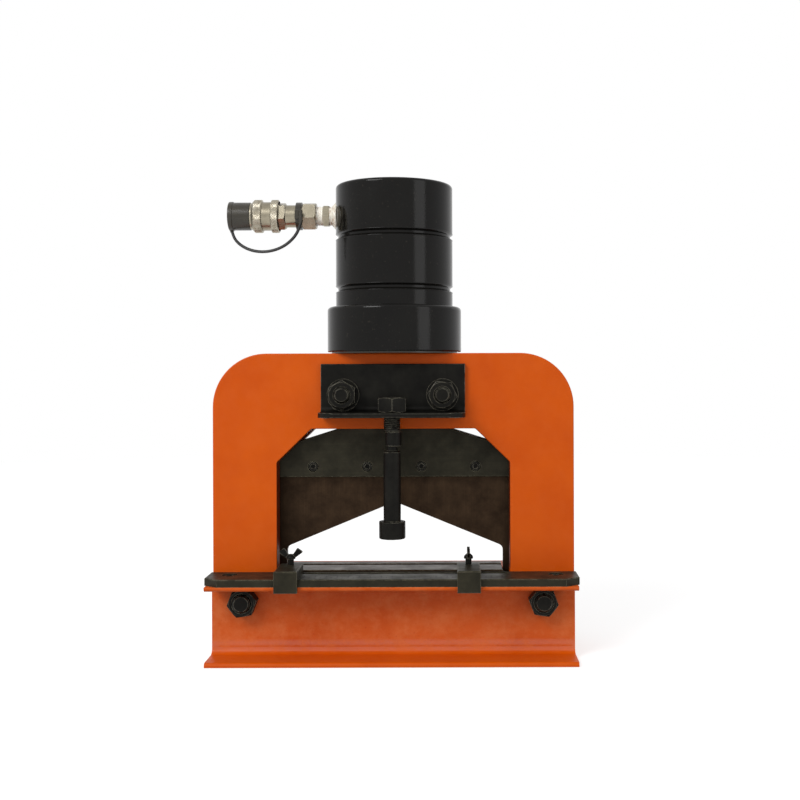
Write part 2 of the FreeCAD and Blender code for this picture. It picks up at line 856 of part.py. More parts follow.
def wing_screw(x, quarter_turned):
    """A wing screw: threaded shank, small domed hub and two raised wings in a V."""
    seat = stop_block_top_z + wing_neck_show
    hub = wing_hub_diameter / 2
    shank = wing_screw_diameter / 2
    screw = turned([
        (0, base_height + 2 * seat_clearance),
        (shank, base_height + 2 * seat_clearance),
        (shank, seat),
        (hub, seat, wing_tip_rounding / 4),
        (hub, seat + wing_hub_height / 2, hub / 2),
        (hub / 2, seat + wing_hub_height),
        (0, seat + wing_hub_height),
    ])
    reach = wing_span / 2
    tip = stop_block_top_z + wing_rise
    root = stop_block_top_z + wing_root_rise
    for side in (-1, 1):
        wing = slab([
            (0, root),
            (side * (hub - wing_tip_rounding / 2), root),
            (side * reach, tip - wing_blade_width * wing_slope_share, wing_tip_rounding),
            (side * (reach - wing_blade_width), tip, wing_tip_rounding),
            (side * hub / 2, seat + wing_hub_height - touching),
            (0, seat + wing_hub_height - touching),
        ], "xz", -wing_thickness / 2, wing_thickness)
        screw = screw.fuse(wing)
    screw = screw.removeSplitter()
    if quarter_turned:
        screw.rotate(ORIGIN, Z_AXIS, 90)
    screw.translate(Vector(x, -clamp_y, 0))
    return screw


# Hold-down

def hold_down_bracket():
    """The angle bolted to the frame's front face."""
    rear = -frame_face_y
    face = rear - bracket_thickness
    front = rear - bracket_reach
    shelf = bracket_bottom_z + bracket_thickness
    angle = slab([
        (rear, bracket_bottom_z, bracket_corner_radius),
        (rear, bracket_top_z),
        (face, bracket_top_z, bracket_corner_radius),
        (face, shelf, bracket_root_radius),
        (front, shelf, bracket_corner_radius),
        (front, bracket_bottom_z, bracket_corner_radius),
    ], "yz", -bracket_length / 2, bracket_length)
    half = bracket_length / 2
    plan = slab([
        (-half, rear),
        (-half, front, shelf_corner_radius),
        (half, front, shelf_corner_radius),
        (half, rear),
    ], "xy", bracket_bottom_z, bracket_top_z - bracket_bottom_z)
    angle = angle.common(plan)
    spot_face = rod(bracket_washer_diameter + 2 * spot_face_margin, 0, bracket_root_radius)
    for x in (-bracket_bolt_x, bracket_bolt_x):
        hole = rod(bracket_bolt_diameter + bolt_hole_clearance, 0, 2 * bracket_thickness)
        angle = angle.cut(pointing(hole, "-y", Vector(x, rear + bracket_thickness / 2, bracket_bolt_z)))
        angle = angle.cut(pointing(spot_face, "-y", Vector(x, face, bracket_bolt_z)))
    hole = rod(hold_down_thread_diameter + 2 * running_clearance, bracket_bottom_z - overrun, shelf + overrun)
    return angle.cut(pointing(hole, "+z", Vector(0, -hold_down_y, 0)))


def bracket_bolts():
    """Two bolts through the whole crown, heads at the rear."""
    grip = frame_depth + bracket_thickness + bracket_washer_thickness + bracket_nut_height + bracket_bolt_end
    bolts = []
    for side in (-1, 1):
        bolt = through_bolt(bracket_bolt_diameter, bracket_nut_flats, bracket_head_height, grip)
        bolts.append(pointing(bolt, "-y", Vector(side * bracket_bolt_x, frame_face_y, bracket_bolt_z)))
    return Part.makeCompound(bolts)


def bracket_washers():
    """The plain washers under the bracket's nuts."""
    bore = bracket_bolt_diameter + bolt_hole_clearance
    washer = ring(bracket_washer_diameter, bore, 0, bracket_washer_thickness)
    seat = -frame_face_y - bracket_thickness
    places = [Vector(side * bracket_bolt_x, seat, bracket_bolt_z) for side in (-1, 1)]
    return Part.makeCompound([pointing(washer, "-y", place) for place in places])


def frame_nuts():
    """The four like nuts of the frame: two on the base's web, two on the bracket."""
    bracket_face_y = -frame_face_y - bracket_thickness - bracket_washer_thickness
    base_face_y = -frame_face_y - channel_web
    base = (base_nut_flats, base_nut_height, base_bolt_diameter, base_face_y, base_bolt_z)
    bracket = (bracket_nut_flats, bracket_nut_height, bracket_bolt_diameter, bracket_face_y, bracket_bolt_z)
    nuts = []
    for x, turn, (flats, height, bolt, face_y, z) in (
        (-base_bolt_x, base_nut_turn_deg, base),
        (base_bolt_x, -base_nut_turn_deg, base),
        (-bracket_bolt_x, left_bracket_nut_turn_deg, bracket),
        (bracket_bolt_x, right_bracket_nut_turn_deg, bracket),
    ):
        piece = nut(flats, height, bolt + 2 * running_clearance, turn)
        nuts.append(pointing(piece, "-y", Vector(x, face_y, z)))
    return Part.makeCompound(nuts)


def hold_down_stud():
    """The fixed stud: tapped into the shelf, with a thinner threaded stem below a shoulder."""
    top = bracket_bottom_z + bracket_thickness + hold_down_nut_height - hold_down_thread_chamfer
    stem = hold_down_stem_diameter / 2
    thread = hold_down_thread_diameter / 2
    edge = hold_down_thread_chamfer
    stud = turned([
        (0, hold_down_stem_bottom_z),
        (stem - edge, hold_down_stem_bottom_z),
        (stem, hold_down_stem_bottom_z + edge),
        (stem, hold_down_thread_bottom_z),
        (thread, hold_down_thread_bottom_z),
        (thread, top - edge),
        (thread - edge, top),
        (0, top),
    ])
    return pointing(stud, "+z", Vector(0, -hold_down_y, 0))


def hold_down_nut():
    """The nut that locks the stud on top of the shelf."""
    bore = hold_down_thread_diameter + 2 * running_clearance
    piece = nut(hold_down_nut_flats, hold_down_nut_height, bore, hold_down_nut_turn_deg)
    return pointing(piece, "+z", Vector(0, -hold_down_y, bracket_bottom_z + bracket_thickness))


def stop_collar():
    """The loose collar under the stud's shoulder that stops the sleeve."""
    bore = hold_down_stem_diameter / 2 + stop_collar_slack + seat_clearance
    outer = stop_collar_diameter / 2
    top = hold_down_thread_bottom_z
    edge = stop_collar_chamfer
    collar = turned([
        (bore, stop_collar_bottom_z),
        (outer - edge / 2, stop_collar_bottom_z),
        (outer, stop_collar_bottom_z + edge / 2),
        (outer, top - edge),
        (outer - edge, top),
        (bore, top),
    ])
    return pointing(collar, "+z", Vector(stop_collar_slack, -hold_down_y, 0))


def hold_down_sleeve():
    """The turning half: a tapped sleeve on the stud's stem, with a journal for the foot."""
    bore = hold_down_stem_diameter / 2 + running_clearance
    outer = hold_down_sleeve_diameter / 2
    bottom = hold_down_foot_top_z + hold_down_turn_gap
    journal = hold_down_journal_diameter / 2
    sleeve = turned([
        (0, bottom - hold_down_journal_length),
        (journal, bottom - hold_down_journal_length),
        (journal, bottom),
        (outer, bottom),
        (outer, hold_down_sleeve_top_z - hold_down_sleeve_chamfer),
        (outer - hold_down_sleeve_chamfer, hold_down_sleeve_top_z),
        (bore, hold_down_sleeve_top_z),
        (bore, hold_down_bore_bottom_z),
        (0, hold_down_bore_bottom_z),
    ])
    return pointing(sleeve, "+z", Vector(0, -hold_down_y, 0))


def hold_down_foot():
    """The swivel foot that presses on the busbar and doesn't turn with the sleeve."""
    outer = hold_down_foot_diameter / 2
    bore = hold_down_journal_diameter / 2 + running_clearance
    floor = hold_down_foot_top_z - hold_down_journal_length
    foot = turned([
        (0, hold_down_foot_bottom_z),
        (outer, hold_down_foot_bottom_z, hold_down_foot_rounding),
        (outer, hold_down_foot_top_z, hold_down_foot_rounding / 2),
        (bore, hold_down_foot_top_z),
        (bore, floor),
        (0, floor),
    ])
    return pointing(foot, "+z", Vector(0, -hold_down_y, 0))


# Cylinder

def groove(z):
    """A bevelled groove to cut round the barrel."""
    half = barrel_groove_width / 2
    floor = barrel_radius - barrel_groove_depth
    return turned([
        (floor, z - half + barrel_groove_bevel),
        (floor, z + half - barrel_groove_bevel),
        (barrel_radius, z + half),
        (barrel_radius + overrun, z + half),
        (barrel_radius + overrun, z - half),
        (barrel_radius, z - half),
    ])


def cylinder_barrel():
    """The barrel with its closed top, screwed into the collar below."""
    bore = barrel_bore / 2
    neck = barrel_screw_end_diameter / 2
    seat = collar_cavity_z + seat_clearance
    barrel = turned([
        (bore, seat),
        (neck, seat),
        (neck, collar_top_z),
        (barrel_radius, collar_top_z),
        (barrel_radius, barrel_top_z, barrel_top_rounding),
        (0, barrel_top_z),
        (0, barrel_cap_z),
        (bore, barrel_cap_z),
    ])
    for z in (upper_groove_z, lower_groove_z):
        barrel = barrel.cut(groove(z))
    thread_width = port_thread_diameter + 2 * running_clearance
    thread = rod(thread_width, barrel_radius - port_thread_depth, barrel_radius + overrun)
    passage = rod(port_hole_diameter, bore - overrun, barrel_radius)
    return barrel.cut(pointing(thread.fuse(passage), "-x", Vector(0, 0, port_z)))


def cylinder_collar():
    """The collar that carries the barrel, with a spigot down into the bored crown."""
    outer = collar_diameter / 2
    cavity = barrel_screw_end_diameter / 2 + running_clearance
    bush = guide_bush_diameter / 2 + running_clearance
    return turned([
        (bush, spigot_bottom_z),
        (spigot_diameter / 2, spigot_bottom_z),
        (spigot_diameter / 2, collar_bottom_z),
        (outer, collar_bottom_z, collar_rounding / 3),
        (outer, collar_top_z, collar_rounding),
        (cavity, collar_top_z),
        (cavity, collar_cavity_z),
        (bush, collar_cavity_z),
    ])


def mount_ring():
    """The flat ring between the collar and the top edges of the frame."""
    bore = 2 * head_bore_radius
    return ring(mount_ring_diameter, bore, frame_top_z, collar_bottom_z)


def guide_bush():
    """The bronze bush that guides the rod in the collar's spigot."""
    bore = rod_diameter + 2 * running_clearance
    return ring(guide_bush_diameter, bore, collar_cavity_z - guide_bush_length, collar_cavity_z)


def rod_wiper():
    """The wiper ring under the guide bush."""
    top = collar_cavity_z - guide_bush_length - seat_clearance
    inner = rod_diameter / 2 + running_clearance
    outer = guide_bush_diameter / 2
    return turned([
        (inner + wiper_lip, top),
        (outer, top),
        (outer, top - wiper_height),
        (inner, top - wiper_height),
        (inner, top - wiper_height / 2),
    ])


# Ram

def piston():
    """The piston with a boss that stops on the barrel's cap, grooved for its rings."""
    outer = barrel_bore / 2 - running_clearance
    top = piston_bottom_z + piston_height
    boss_top = top + piston_boss_height
    stub = rod_stub_diameter / 2 + running_clearance
    stub_top = piston_bottom_z + rod_stub_length
    screw = piston_screw_diameter / 2 + bolt_hole_clearance / 2
    room = piston_screw_head_diameter / 2 + bolt_hole_clearance / 2
    head_seat = stub_top + piston_web
    seal_low = piston_bottom_z + seal_groove_rise
    wear_low = piston_bottom_z + wear_groove_rise
    return turned([
        (stub, piston_bottom_z),
        (outer, piston_bottom_z),
        (outer, wear_low),
        (outer - wear_groove_depth, wear_low),
        (outer - wear_groove_depth, wear_low + wear_groove_width),
        (outer, wear_low + wear_groove_width),
        (outer, seal_low),
        (outer - seal_groove_depth, seal_low),
        (outer - seal_groove_depth, seal_low + seal_groove_width),
        (outer, seal_low + seal_groove_width),
        (outer, top),
        (piston_boss_diameter / 2, top),
        (piston_boss_diameter / 2, boss_top),
        (room, boss_top),
        (room, head_seat),
        (screw, head_seat),
        (screw, stub_top),
        (stub, stub_top),
    ])


def piston_ring(rise, width, depth):
    """A ring that fills one of the piston's grooves and runs in the bore."""
    low = piston_bottom_z + rise + running_clearance
    outer = barrel_bore - running_clearance
    inner = barrel_bore - 2 * depth
    return ring(outer, inner, low, low + width - 2 * running_clearance)


def piston_screw():
    """The cap screw that holds the piston on the rod."""
    seat = piston_bottom_z + rod_stub_length + piston_web
    grip = piston_web + piston_screw_grip
    height = piston_boss_height - (seat - piston_bottom_z - piston_height) - free_clearance
    head = min(piston_screw_head_height, height)
    screw = socket_screw(piston_screw_diameter, piston_screw_head_diameter, head, grip)
    return pointing(screw, "+z", Vector(0, 0, seat))


def ram_rod():
    """The rod, with a stub for the piston above and a flat tongue for the holder below."""
    stub_top = piston_bottom_z + rod_stub_length - seat_clearance
    tapping = piston_screw_diameter + 2 * running_clearance
    tapped = rod(tapping, stub_top - piston_screw_grip - overrun, stub_top + overrun)
    shape = rod(rod_diameter, rod_end_z, piston_bottom_z).fuse(rod(rod_stub_diameter, rod_end_z, stub_top))
    thick = blade_thickness / 2 - running_clearance
    half = rod_tongue_width / 2
    tongue = block(-half, half, -thick, thick, rod_tongue_bottom_z, rod_end_z + overrun)
    shape = shape.fuse(tongue).removeSplitter().cut(tapped)
    return shape.cut(ram_pin_hole())


def ram_pin_hole():
    """The cross hole for the pin in the tongue and the holder's necks."""
    reach = 2 * holder_face_y + 2 * overrun
    hole = rod(ram_pin_diameter + 2 * running_clearance, 0, reach)
    return pointing(hole, "+y", Vector(0, -holder_face_y - overrun, ram_pin_z))


def ram_pin():
    """The pin that hangs the blade holder on the rod."""
    return pointing(rod(ram_pin_diameter, 0, 2 * holder_face_y), "+y", Vector(0, -holder_face_y, ram_pin_z))


def shoulder_z(x):
    """Height of the holder's sloping top edge at a distance from the middle."""
    return holder_shoulder_z - (x - holder_shoulder_x) * math.tan(math.radians(holder_shoulder_slope_deg))


def holder_screw_places():
    """Where the four holder screws sit along X."""
    return [(i - 1.5) * holder_screw_spacing for i in range(4)]


def holder_plate(side):
    """One cheek of the blade holder, with a neck up to the ram's pin."""
    half = holder_length / 2
    neck = holder_neck_width / 2
    near = blade_thickness / 2 if side > 0 else -holder_face_y
    corners = [
        (-half, holder_bottom_z),
        (-half, shoulder_z(half)),
        (-neck, shoulder_z(neck)),
        (-neck, holder_neck_top_z),
        (neck, holder_neck_top_z),
        (neck, shoulder_z(neck)),
        (half, shoulder_z(half)),
        (half, holder_bottom_z),
    ]
    plate = slab(corners, "xz", near, holder_plate_thickness)
    plate = softened(plate, holder_edge_chamfer, lies_at_y(side * holder_face_y))
    return plate.cut(ram_pin_hole()).cut(holder_screw_room())


def holder_screw_room():
    """Counterbored holes for the holder's screws, through cheeks and blade."""
    depth = holder_screw_recess + holder_screw_head_height
    head = rod(holder_screw_head_diameter + bolt_hole_clearance, -overrun, depth)
    reach = 2 * holder_face_y - holder_plate_thickness + holder_screw_grip
    shank = rod(holder_screw_diameter + 2 * running_clearance, 0, reach)
    room = head.fuse(shank)
    places = [Vector(x, -holder_face_y, holder_screw_z) for x in holder_screw_places()]
    return Part.makeCompound([pointing(room, "+y", place) for place in places])


def holder_screws():
    """Four cap screws that clamp the blade between the cheeks."""
    seat = holder_screw_recess + holder_screw_head_height
    grip = 2 * holder_face_y - holder_plate_thickness - seat + holder_screw_grip - seat_clearance
    screw = socket_screw(holder_screw_diameter, holder_screw_head_diameter, holder_screw_head_height, grip)
    places = [Vector(x, seat - holder_face_y, holder_screw_z) for x in holder_screw_places()]
    return Part.makeCompound([pointing(screw, "-y", place) for place in places])


def upper_blade():
    """The blade: an inverted V between two guide legs that pass the ends of the lower blades."""
    inner = blade_tip_span / 2
    fall = inner * math.tan(math.radians(blade_slope_deg))
    apex = blade_apex_z + blade_apex_radius * (1 / math.cos(math.radians(blade_slope_deg)) - 1)
    shoulder_slope = math.tan(math.radians(holder_shoulder_slope_deg))
    flat_x = holder_shoulder_x + (holder_shoulder_z - blade_top_z) / shoulder_slope
    tip = blade_leg_tip_chamfer
    blade = slab([
        (-blade_outer_x, blade_leg_bottom_z + tip),
        (-blade_outer_x, shoulder_z(blade_outer_x)),
        (-flat_x, blade_top_z),
        (flat_x, blade_top_z),
        (blade_outer_x, shoulder_z(blade_outer_x)),
        (blade_outer_x, blade_leg_bottom_z + tip),
        (blade_outer_x - tip, blade_leg_bottom_z),
        (inner, blade_leg_bottom_z),
        (inner, apex - fall, blade_leg_fillet),
        (0, apex, blade_apex_radius),
        (-inner, apex - fall, blade_leg_fillet),
        (-inner, blade_leg_bottom_z),
        (tip - blade_outer_x, blade_leg_bottom_z),
    ], "xz", -blade_thickness / 2, blade_thickness)
    return blade.cut(holder_screw_room())


def return_spring():
    """The spring round the rod that lifts the ram again."""
    low = collar_cavity_z + seat_clearance
    height = piston_bottom_z - seat_clearance - low
    spring = coil(return_spring_diameter, return_spring_wire, return_spring_turns, height, "return_spring")
    return pointing(spring, "+z", Vector(0, 0, low))


# Port fittings and coupler

def at_port(shape):
    """Turn a piece made along +Z to point outward along the port."""
    return pointing(shape, "-x", Vector(0, 0, port_z))


def port_nipple():
    """The nipple between the barrel and the coupler: two tapered threads and a small hexagon."""
    inner_end = barrel_radius - port_thread_depth + seat_clearance
    outer_end = union_nut_at + outer_thread_depth
    body = rod(port_thread_diameter, inner_end, outer_end)
    body = body.fuse(hexagon(small_hex_flats, small_hex_at, outer_thread_at, small_hex_turn_deg))
    body = body.removeSplitter()
    return at_port(body.cut(rod(port_hole_diameter, inner_end - overrun, outer_end + overrun)))


def port_boss():
    """The small tapered boss welded to the barrel round its port."""
    inner = port_thread_diameter / 2 + running_clearance
    end = barrel_radius + port_boss_length
    boss = turned([
        (inner, barrel_radius - port_boss_length),
        (port_boss_diameter / 2, barrel_radius - port_boss_length),
        (port_boss_diameter / 2, barrel_radius - port_boss_length / 2),
        (port_boss_end_diameter / 2, end),
        (inner, end),
    ])
    return at_port(boss).cut(rod(barrel_diameter, collar_top_z, barrel_top_z))


def thread_tape():
    """The sealing tape wound on both threads of the nipple."""
    outer = port_thread_diameter + 2 * tape_thickness
    inner_wrap = ring(outer, port_thread_diameter, barrel_radius + port_boss_length, small_hex_at)
    outer_wrap = ring(outer, port_thread_diameter, outer_thread_at, union_nut_at)
    return at_port(Part.makeCompound([inner_wrap, outer_wrap]))


def union_nut():
    """The hexagon adapter between the nipple and the coupler."""
    body = hexagon(union_nut_flats, union_nut_at, coupler_at, union_nut_turn_deg)
    thread = port_thread_diameter + 2 * running_clearance
    neck = coupler_neck_diameter + 2 * running_clearance
    middle = union_nut_at + outer_thread_depth + seat_clearance
    body = body.cut(rod(thread, union_nut_at - overrun, middle))
    return at_port(body.cut(rod(neck, middle, coupler_at + overrun)))


def coupler_body():
    """The fixed body of the quick coupler: neck, barrel, hexagon, and tube with its socket."""
    neck_start = union_nut_at + outer_thread_depth + 2 * seat_clearance
    outer = rod(coupler_neck_diameter, neck_start, coupler_at)
    outer = outer.fuse(rod(coupler_barrel_diameter, coupler_at, coupler_hex_at))
    outer = outer.fuse(hexagon(coupler_hex_flats, coupler_hex_at, coupler_tube_at, coupler_hex_turn_deg))
    outer = outer.fuse(rod(coupler_tube_diameter, coupler_tube_at, coupler_mouth_at)).removeSplitter()
    passage_end = coupler_seat_at
    chamber_start = coupler_seat_at - valve_head_length - valve_spring_length
    bore = rod(port_hole_diameter, neck_start - overrun, coupler_seat_at)
    bore = bore.fuse(rod(coupler_passage_diameter, chamber_start, passage_end))
    bore = bore.fuse(rod(coupler_seat_diameter, coupler_seat_at - overrun, coupler_mouth_at))
    bore = bore.fuse(rod(coupler_socket_diameter, coupler_socket_at, coupler_mouth_at + overrun))
    body = outer.cut(bore)
    hole_width = lock_ball_diameter + 2 * seat_clearance
    hole = rod(hole_width, coupler_socket_diameter / 2 - overrun, coupler_tube_diameter)
    for place in range(lock_ball_count):
        cutter = pointing(hole, "-y", Vector(0, 0, coupler_mouth_at - lock_ball_rise))
        cutter.rotate(ORIGIN, Z_AXIS, 360 / lock_ball_count * place)
        body = body.cut(cutter)
    return at_port(body.cut(sleeve_ball_shape(seat_clearance)).cut(sleeve_ball_mouth()))


def sleeve_ball_shape(clearance):
    """The lock ball set in the hexagon, or the pocket for it."""
    reach = coupler_hex_flats / 2 - lock_ball_diameter / 8
    turn = math.radians(sleeve_ball_turn_deg)
    height = coupler_tube_at - sleeve_ball_from_face
    centre = Vector(reach * math.sin(turn), -reach * math.cos(turn), height)
    return Part.makeSphere(lock_ball_diameter / 2 + clearance, centre)


def sleeve_ball_mouth():
    """The wider mouth of the pocket, cut from the hexagon's outside inwards."""
    mouth = Part.makeCylinder(sleeve_ball_mouth_diameter / 2, coupler_hex_flats / 2)
    mouth.translate(Vector(0, 0, coupler_hex_flats / 2 - lock_ball_diameter / 8))
    mouth.rotate(ORIGIN, X_AXIS, 90)
    mouth.rotate(ORIGIN, Z_AXIS, sleeve_ball_turn_deg)
    mouth.translate(Vector(0, 0, coupler_tube_at - sleeve_ball_from_face))
    return mouth


def lock_balls():
    """The balls in radial holes near the mouth, and the like ball set in the hexagon."""
    reach = coupler_tube_diameter / 2 - lock_ball_diameter / 2 - running_clearance
    balls = [sleeve_ball_shape(0)]
    for place in range(lock_ball_count):
        turn = 2 * math.pi / lock_ball_count * place
        centre = Vector(reach * math.sin(turn), -reach * math.cos(turn), coupler_mouth_at - lock_ball_rise)
        balls.append(Part.makeSphere(lock_ball_diameter / 2, centre))
    return at_port(Part.makeCompound(balls))


def sleeve_stop_ring():
    """The ring on the end of the coupler's tube that keeps the sleeve on."""
    bore = coupler_tube_diameter + 2 * running_clearance
    low = coupler_mouth_at - sleeve_stop_width
    return at_port(ring(sleeve_stop_diameter, bore, low, coupler_mouth_at))


def coupler_sleeve():
    """The knurled sleeve that is drawn back to release the hose."""
    ring_radius = sleeve_diameter / 2
    waist = sleeve_waist_diameter / 2
    hex_room = sleeve_hex_room_diameter / 2
    spring_room = sleeve_spring_room_diameter / 2
    guide = coupler_tube_diameter / 2 + running_clearance
    edge = sleeve_chamfer
    small = edge / 3
    hex_depth = sleeve_travel + sleeve_hex_lap + free_clearance
    sleeve = turned([
        (hex_room, sleeve_at),
        (ring_radius - small, sleeve_at),
        (ring_radius, sleeve_at + small),
        (ring_radius, sleeve_waist_at - small),
        (ring_radius - small, sleeve_waist_at),
        (waist, sleeve_waist_at),
        (waist, sleeve_front_at),
        (ring_radius - small, sleeve_front_at),
        (ring_radius, sleeve_front_at + small),
        (ring_radius, sleeve_end_at - edge),
        (ring_radius - edge, sleeve_end_at),
        (guide, sleeve_end_at),
        (guide, sleeve_step_at),
        (spring_room, sleeve_step_at),
        (spring_room, sleeve_at + hex_depth),
        (hex_room, sleeve_at + hex_depth),
    ])
    half = sleeve_notch_width / 2
    notch_end = sleeve_at + sleeve_notch_depth
    notch = block(-half, half, -ring_radius - overrun, -spring_room, sleeve_at - overrun, notch_end)
    notch.rotate(ORIGIN, Z_AXIS, sleeve_notch_turn_deg)
    return at_port(sleeve.cut(notch))


def sleeve_spring():
    """The spring that pushes the sleeve forward again."""
    low = coupler_tube_at + seat_clearance
    mean = (coupler_tube_diameter + sleeve_spring_room_diameter) / 2
    height = sleeve_step_at - seat_clearance - low
    spring = coil(mean, sleeve_spring_wire, sleeve_spring_turns, height, "sleeve_spring")
    return at_port(pointing(spring, "+z", Vector(0, 0, low)))


def coupler_valve():
    """The poppet that shuts the passage when no hose is on."""
    head = coupler_passage_diameter / 2 - running_clearance
    seat = coupler_seat_at - seat_clearance
    back = seat - valve_head_length
    nose = valve_nose_diameter / 2
    stem = valve_stem_diameter / 2
    return at_port(turned([
        (0, back - valve_stem_length / 2),
        (stem, back - valve_stem_length / 2),
        (stem, back),
        (head, back),
        (head, seat - valve_seat_ring_width),
        (head - valve_seat_ring_width, seat),
        (nose, seat),
        (nose, seat + valve_nose_length),
        (0, seat + valve_nose_length),
    ]))


def valve_spring():
    """The spring behind the poppet."""
    low = coupler_seat_at - valve_head_length - valve_spring_length
    high = coupler_seat_at - seat_clearance - valve_head_length - seat_clearance
    spring = coil(valve_spring_diameter, valve_spring_wire, valve_spring_turns, high - low, "valve_spring")
    return at_port(pointing(spring, "+z", Vector(0, 0, low)))


# Dust plug and lanyard

def lanyard_point(index):
    """A point of the lanyard's route."""
    x, y, above_port = lanyard_route[index]
    return Vector(x, y, port_z + above_port)


def lanyard_end(index):
    """Where the lanyard ends on its lug, and the way that it points there."""
    end = lanyard_point(index)
    beside = lanyard_point(1 if index == 0 else index - 1)
    return end, (end - beside).normalize()


def dust_plug():
    """The rubber plug in the coupler's mouth, with a short lug for the lanyard."""
    body = plug_body_diameter / 2
    flange = plug_flange_diameter / 2
    nose = plug_nose_diameter / 2
    plug = at_port(turned([
        (0, plug_at - plug_nose_length),
        (nose, plug_at - plug_nose_length, plug_rounding),
        (nose, plug_at),
        (body, plug_at, plug_rounding / 2),
        (body, plug_flange_at),
        (flange, plug_flange_at, plug_rounding / 2),
        (flange, plug_end_at, plug_rounding),
        (0, plug_end_at),
    ]))
    end, way = lanyard_end(0)
    return plug.fuse(Part.makeCylinder(lanyard_lug_diameter / 2, lanyard_lug_depth, end, way))


def lanyard_ring():
    """The rubber ring on the coupler that keeps the lanyard, with a lug on its near side."""
    hoop = at_port(ring(lanyard_ring_diameter, coupler_barrel_diameter, lanyard_ring_at, coupler_barrel_at))
    end, way = lanyard_end(len(lanyard_route) - 1)
    lug = lanyard_lug_diameter / 2
    post = Part.makeCylinder(lug, lanyard_lug_depth, end, way)
    post = post.fuse(Part.makeCylinder(lug, lanyard_ring_lug_height - lanyard_lug_depth / 2, end + way * lug))
    inner = -(coupler_barrel_diameter + lanyard_ring_diameter) / 4
    low = port_z - lanyard_ring_pad_height / 2
    high = port_z + lanyard_ring_pad_height / 2 - lanyard_ring_gap
    pad = block(-coupler_barrel_at, -lanyard_ring_at, end.y, inner, low, high)
    bore = at_port(rod(coupler_barrel_diameter, lanyard_ring_at - overrun, coupler_barrel_at + overrun))
    return hoop.fuse(post).fuse(pad.cut(bore)).removeSplitter()


def lanyard():
    """The free cord: straight runs joined by tangent arcs, as large as the runs allow."""
    points = [lanyard_point(index) for index in range(len(lanyard_route))]
    edges = []
    radii = []
    here = points[0]
    for i in range(1, len(points) - 1):
        back = (points[i - 1] - points[i]).normalize()
        ahead = (points[i + 1] - points[i]).normalize()
        shorter = min((points[i - 1] - points[i]).Length, (points[i + 1] - points[i]).Length)
        half_inside = back.getAngle(ahead) / 2
        run = tangent_share * shorter
        radius = run * math.tan(half_inside)
        start = points[i] + back * run
        end = points[i] + ahead * run
        middle = points[i] + (back + ahead).normalize() * (radius / math.sin(half_inside) - radius)
        edges.append(Part.LineSegment(here, start).toShape())
        edges.append(Part.Arc(start, middle, end).toShape())
        radii.append(round(radius, 1))
        here = end
    edges.append(Part.LineSegment(here, points[-1]).toShape())
    path = Part.Wire(edges)
    section = Part.Circle(points[0], points[1] - points[0], lanyard_diameter / 2).toShape()
    tube = path.makePipeShell([Part.Wire(section)], True, False)
    area = math.pi * lanyard_diameter * lanyard_diameter / 4
    share = tube.Volume / (area * path.Length)
    print("lanyard radii", radii, "length", round(path.Length, 1), "volume share", round(share, 4))
    return tube


PIECES = {
    "front_frame_plate": lambda: side_plate(-frame_face_y),
    "rear_frame_plate": lambda: side_plate(frame_face_y - side_plate_thickness),
    "left_leg_spacer": lambda: leg_spacer(-1),
    "right_leg_spacer": lambda: leg_spacer(1),
    "left_crown_block": lambda: crown_block(-1),
    "right_crown_block": lambda: crown_block(1),
    "front_base_channel": lambda: base_channel(-1),
    "rear_base_channel": lambda: base_channel(1),
    "base_bolts": base_bolts,
    "frame_nuts": frame_nuts,
    "blade_bed": blade_bed,
    "front_lower_blade": lambda: lower_blade(-1),
    "rear_lower_blade": lambda: lower_blade(1),
    "lower_blade_screws": lower_blade_screws,
    "scale_plate": scale_plate,
    "scale_plate_screws": scale_plate_screws,
    "left_stop_block": lambda: stop_block(left_stop_x),
    "right_stop_block": lambda: stop_block(right_stop_x),
    "left_clamp_nut": lambda: clamp_nut(left_stop_x),
    "right_clamp_nut": lambda: clamp_nut(right_stop_x),
    "left_wing_screw": lambda: wing_screw(left_stop_x, False),
    "right_wing_screw": lambda: wing_screw(right_stop_x, True),
    "hold_down_bracket": hold_down_bracket,
    "bracket_bolts": bracket_bolts,
    "bracket_washers": bracket_washers,
    "hold_down_stud": hold_down_stud,
    "hold_down_nut": hold_down_nut,
    "stop_collar": stop_collar,
    "hold_down_sleeve": hold_down_sleeve,
    "hold_down_foot": hold_down_foot,
    "cylinder_barrel": cylinder_barrel,
    "cylinder_collar": cylinder_collar,
    "mount_ring": mount_ring,
    "guide_bush": guide_bush,
    "rod_wiper": rod_wiper,
    "piston": piston,
    "piston_seal": lambda: piston_ring(seal_groove_rise, seal_groove_width, seal_groove_depth),
    "piston_wear_ring": lambda: piston_ring(wear_groove_rise, wear_groove_width, wear_groove_depth),
    "piston_screw": piston_screw,
    "ram_rod": ram_rod,
    "ram_pin": ram_pin,
    "return_spring": return_spring,
    "front_holder_plate": lambda: holder_plate(-1),
    "rear_holder_plate": lambda: holder_plate(1),
    "holder_screws": holder_screws,
    "upper_blade": upper_blade,
    "port_boss": port_boss,
    "port_nipple": port_nipple,
    "thread_tape": thread_tape,
    "union_nut": union_nut,
    "coupler_body": coupler_body,
    "lock_balls": lock_balls,
    "sleeve_stop_ring": sleeve_stop_ring,
    "coupler_sleeve": coupler_sleeve,
    "sleeve_spring": sleeve_spring,
    "coupler_valve": coupler_valve,
    "valve_spring": valve_spring,
    "dust_plug": dust_plug,
    "lanyard_ring": lanyard_ring,
    "lanyard": lanyard,
}

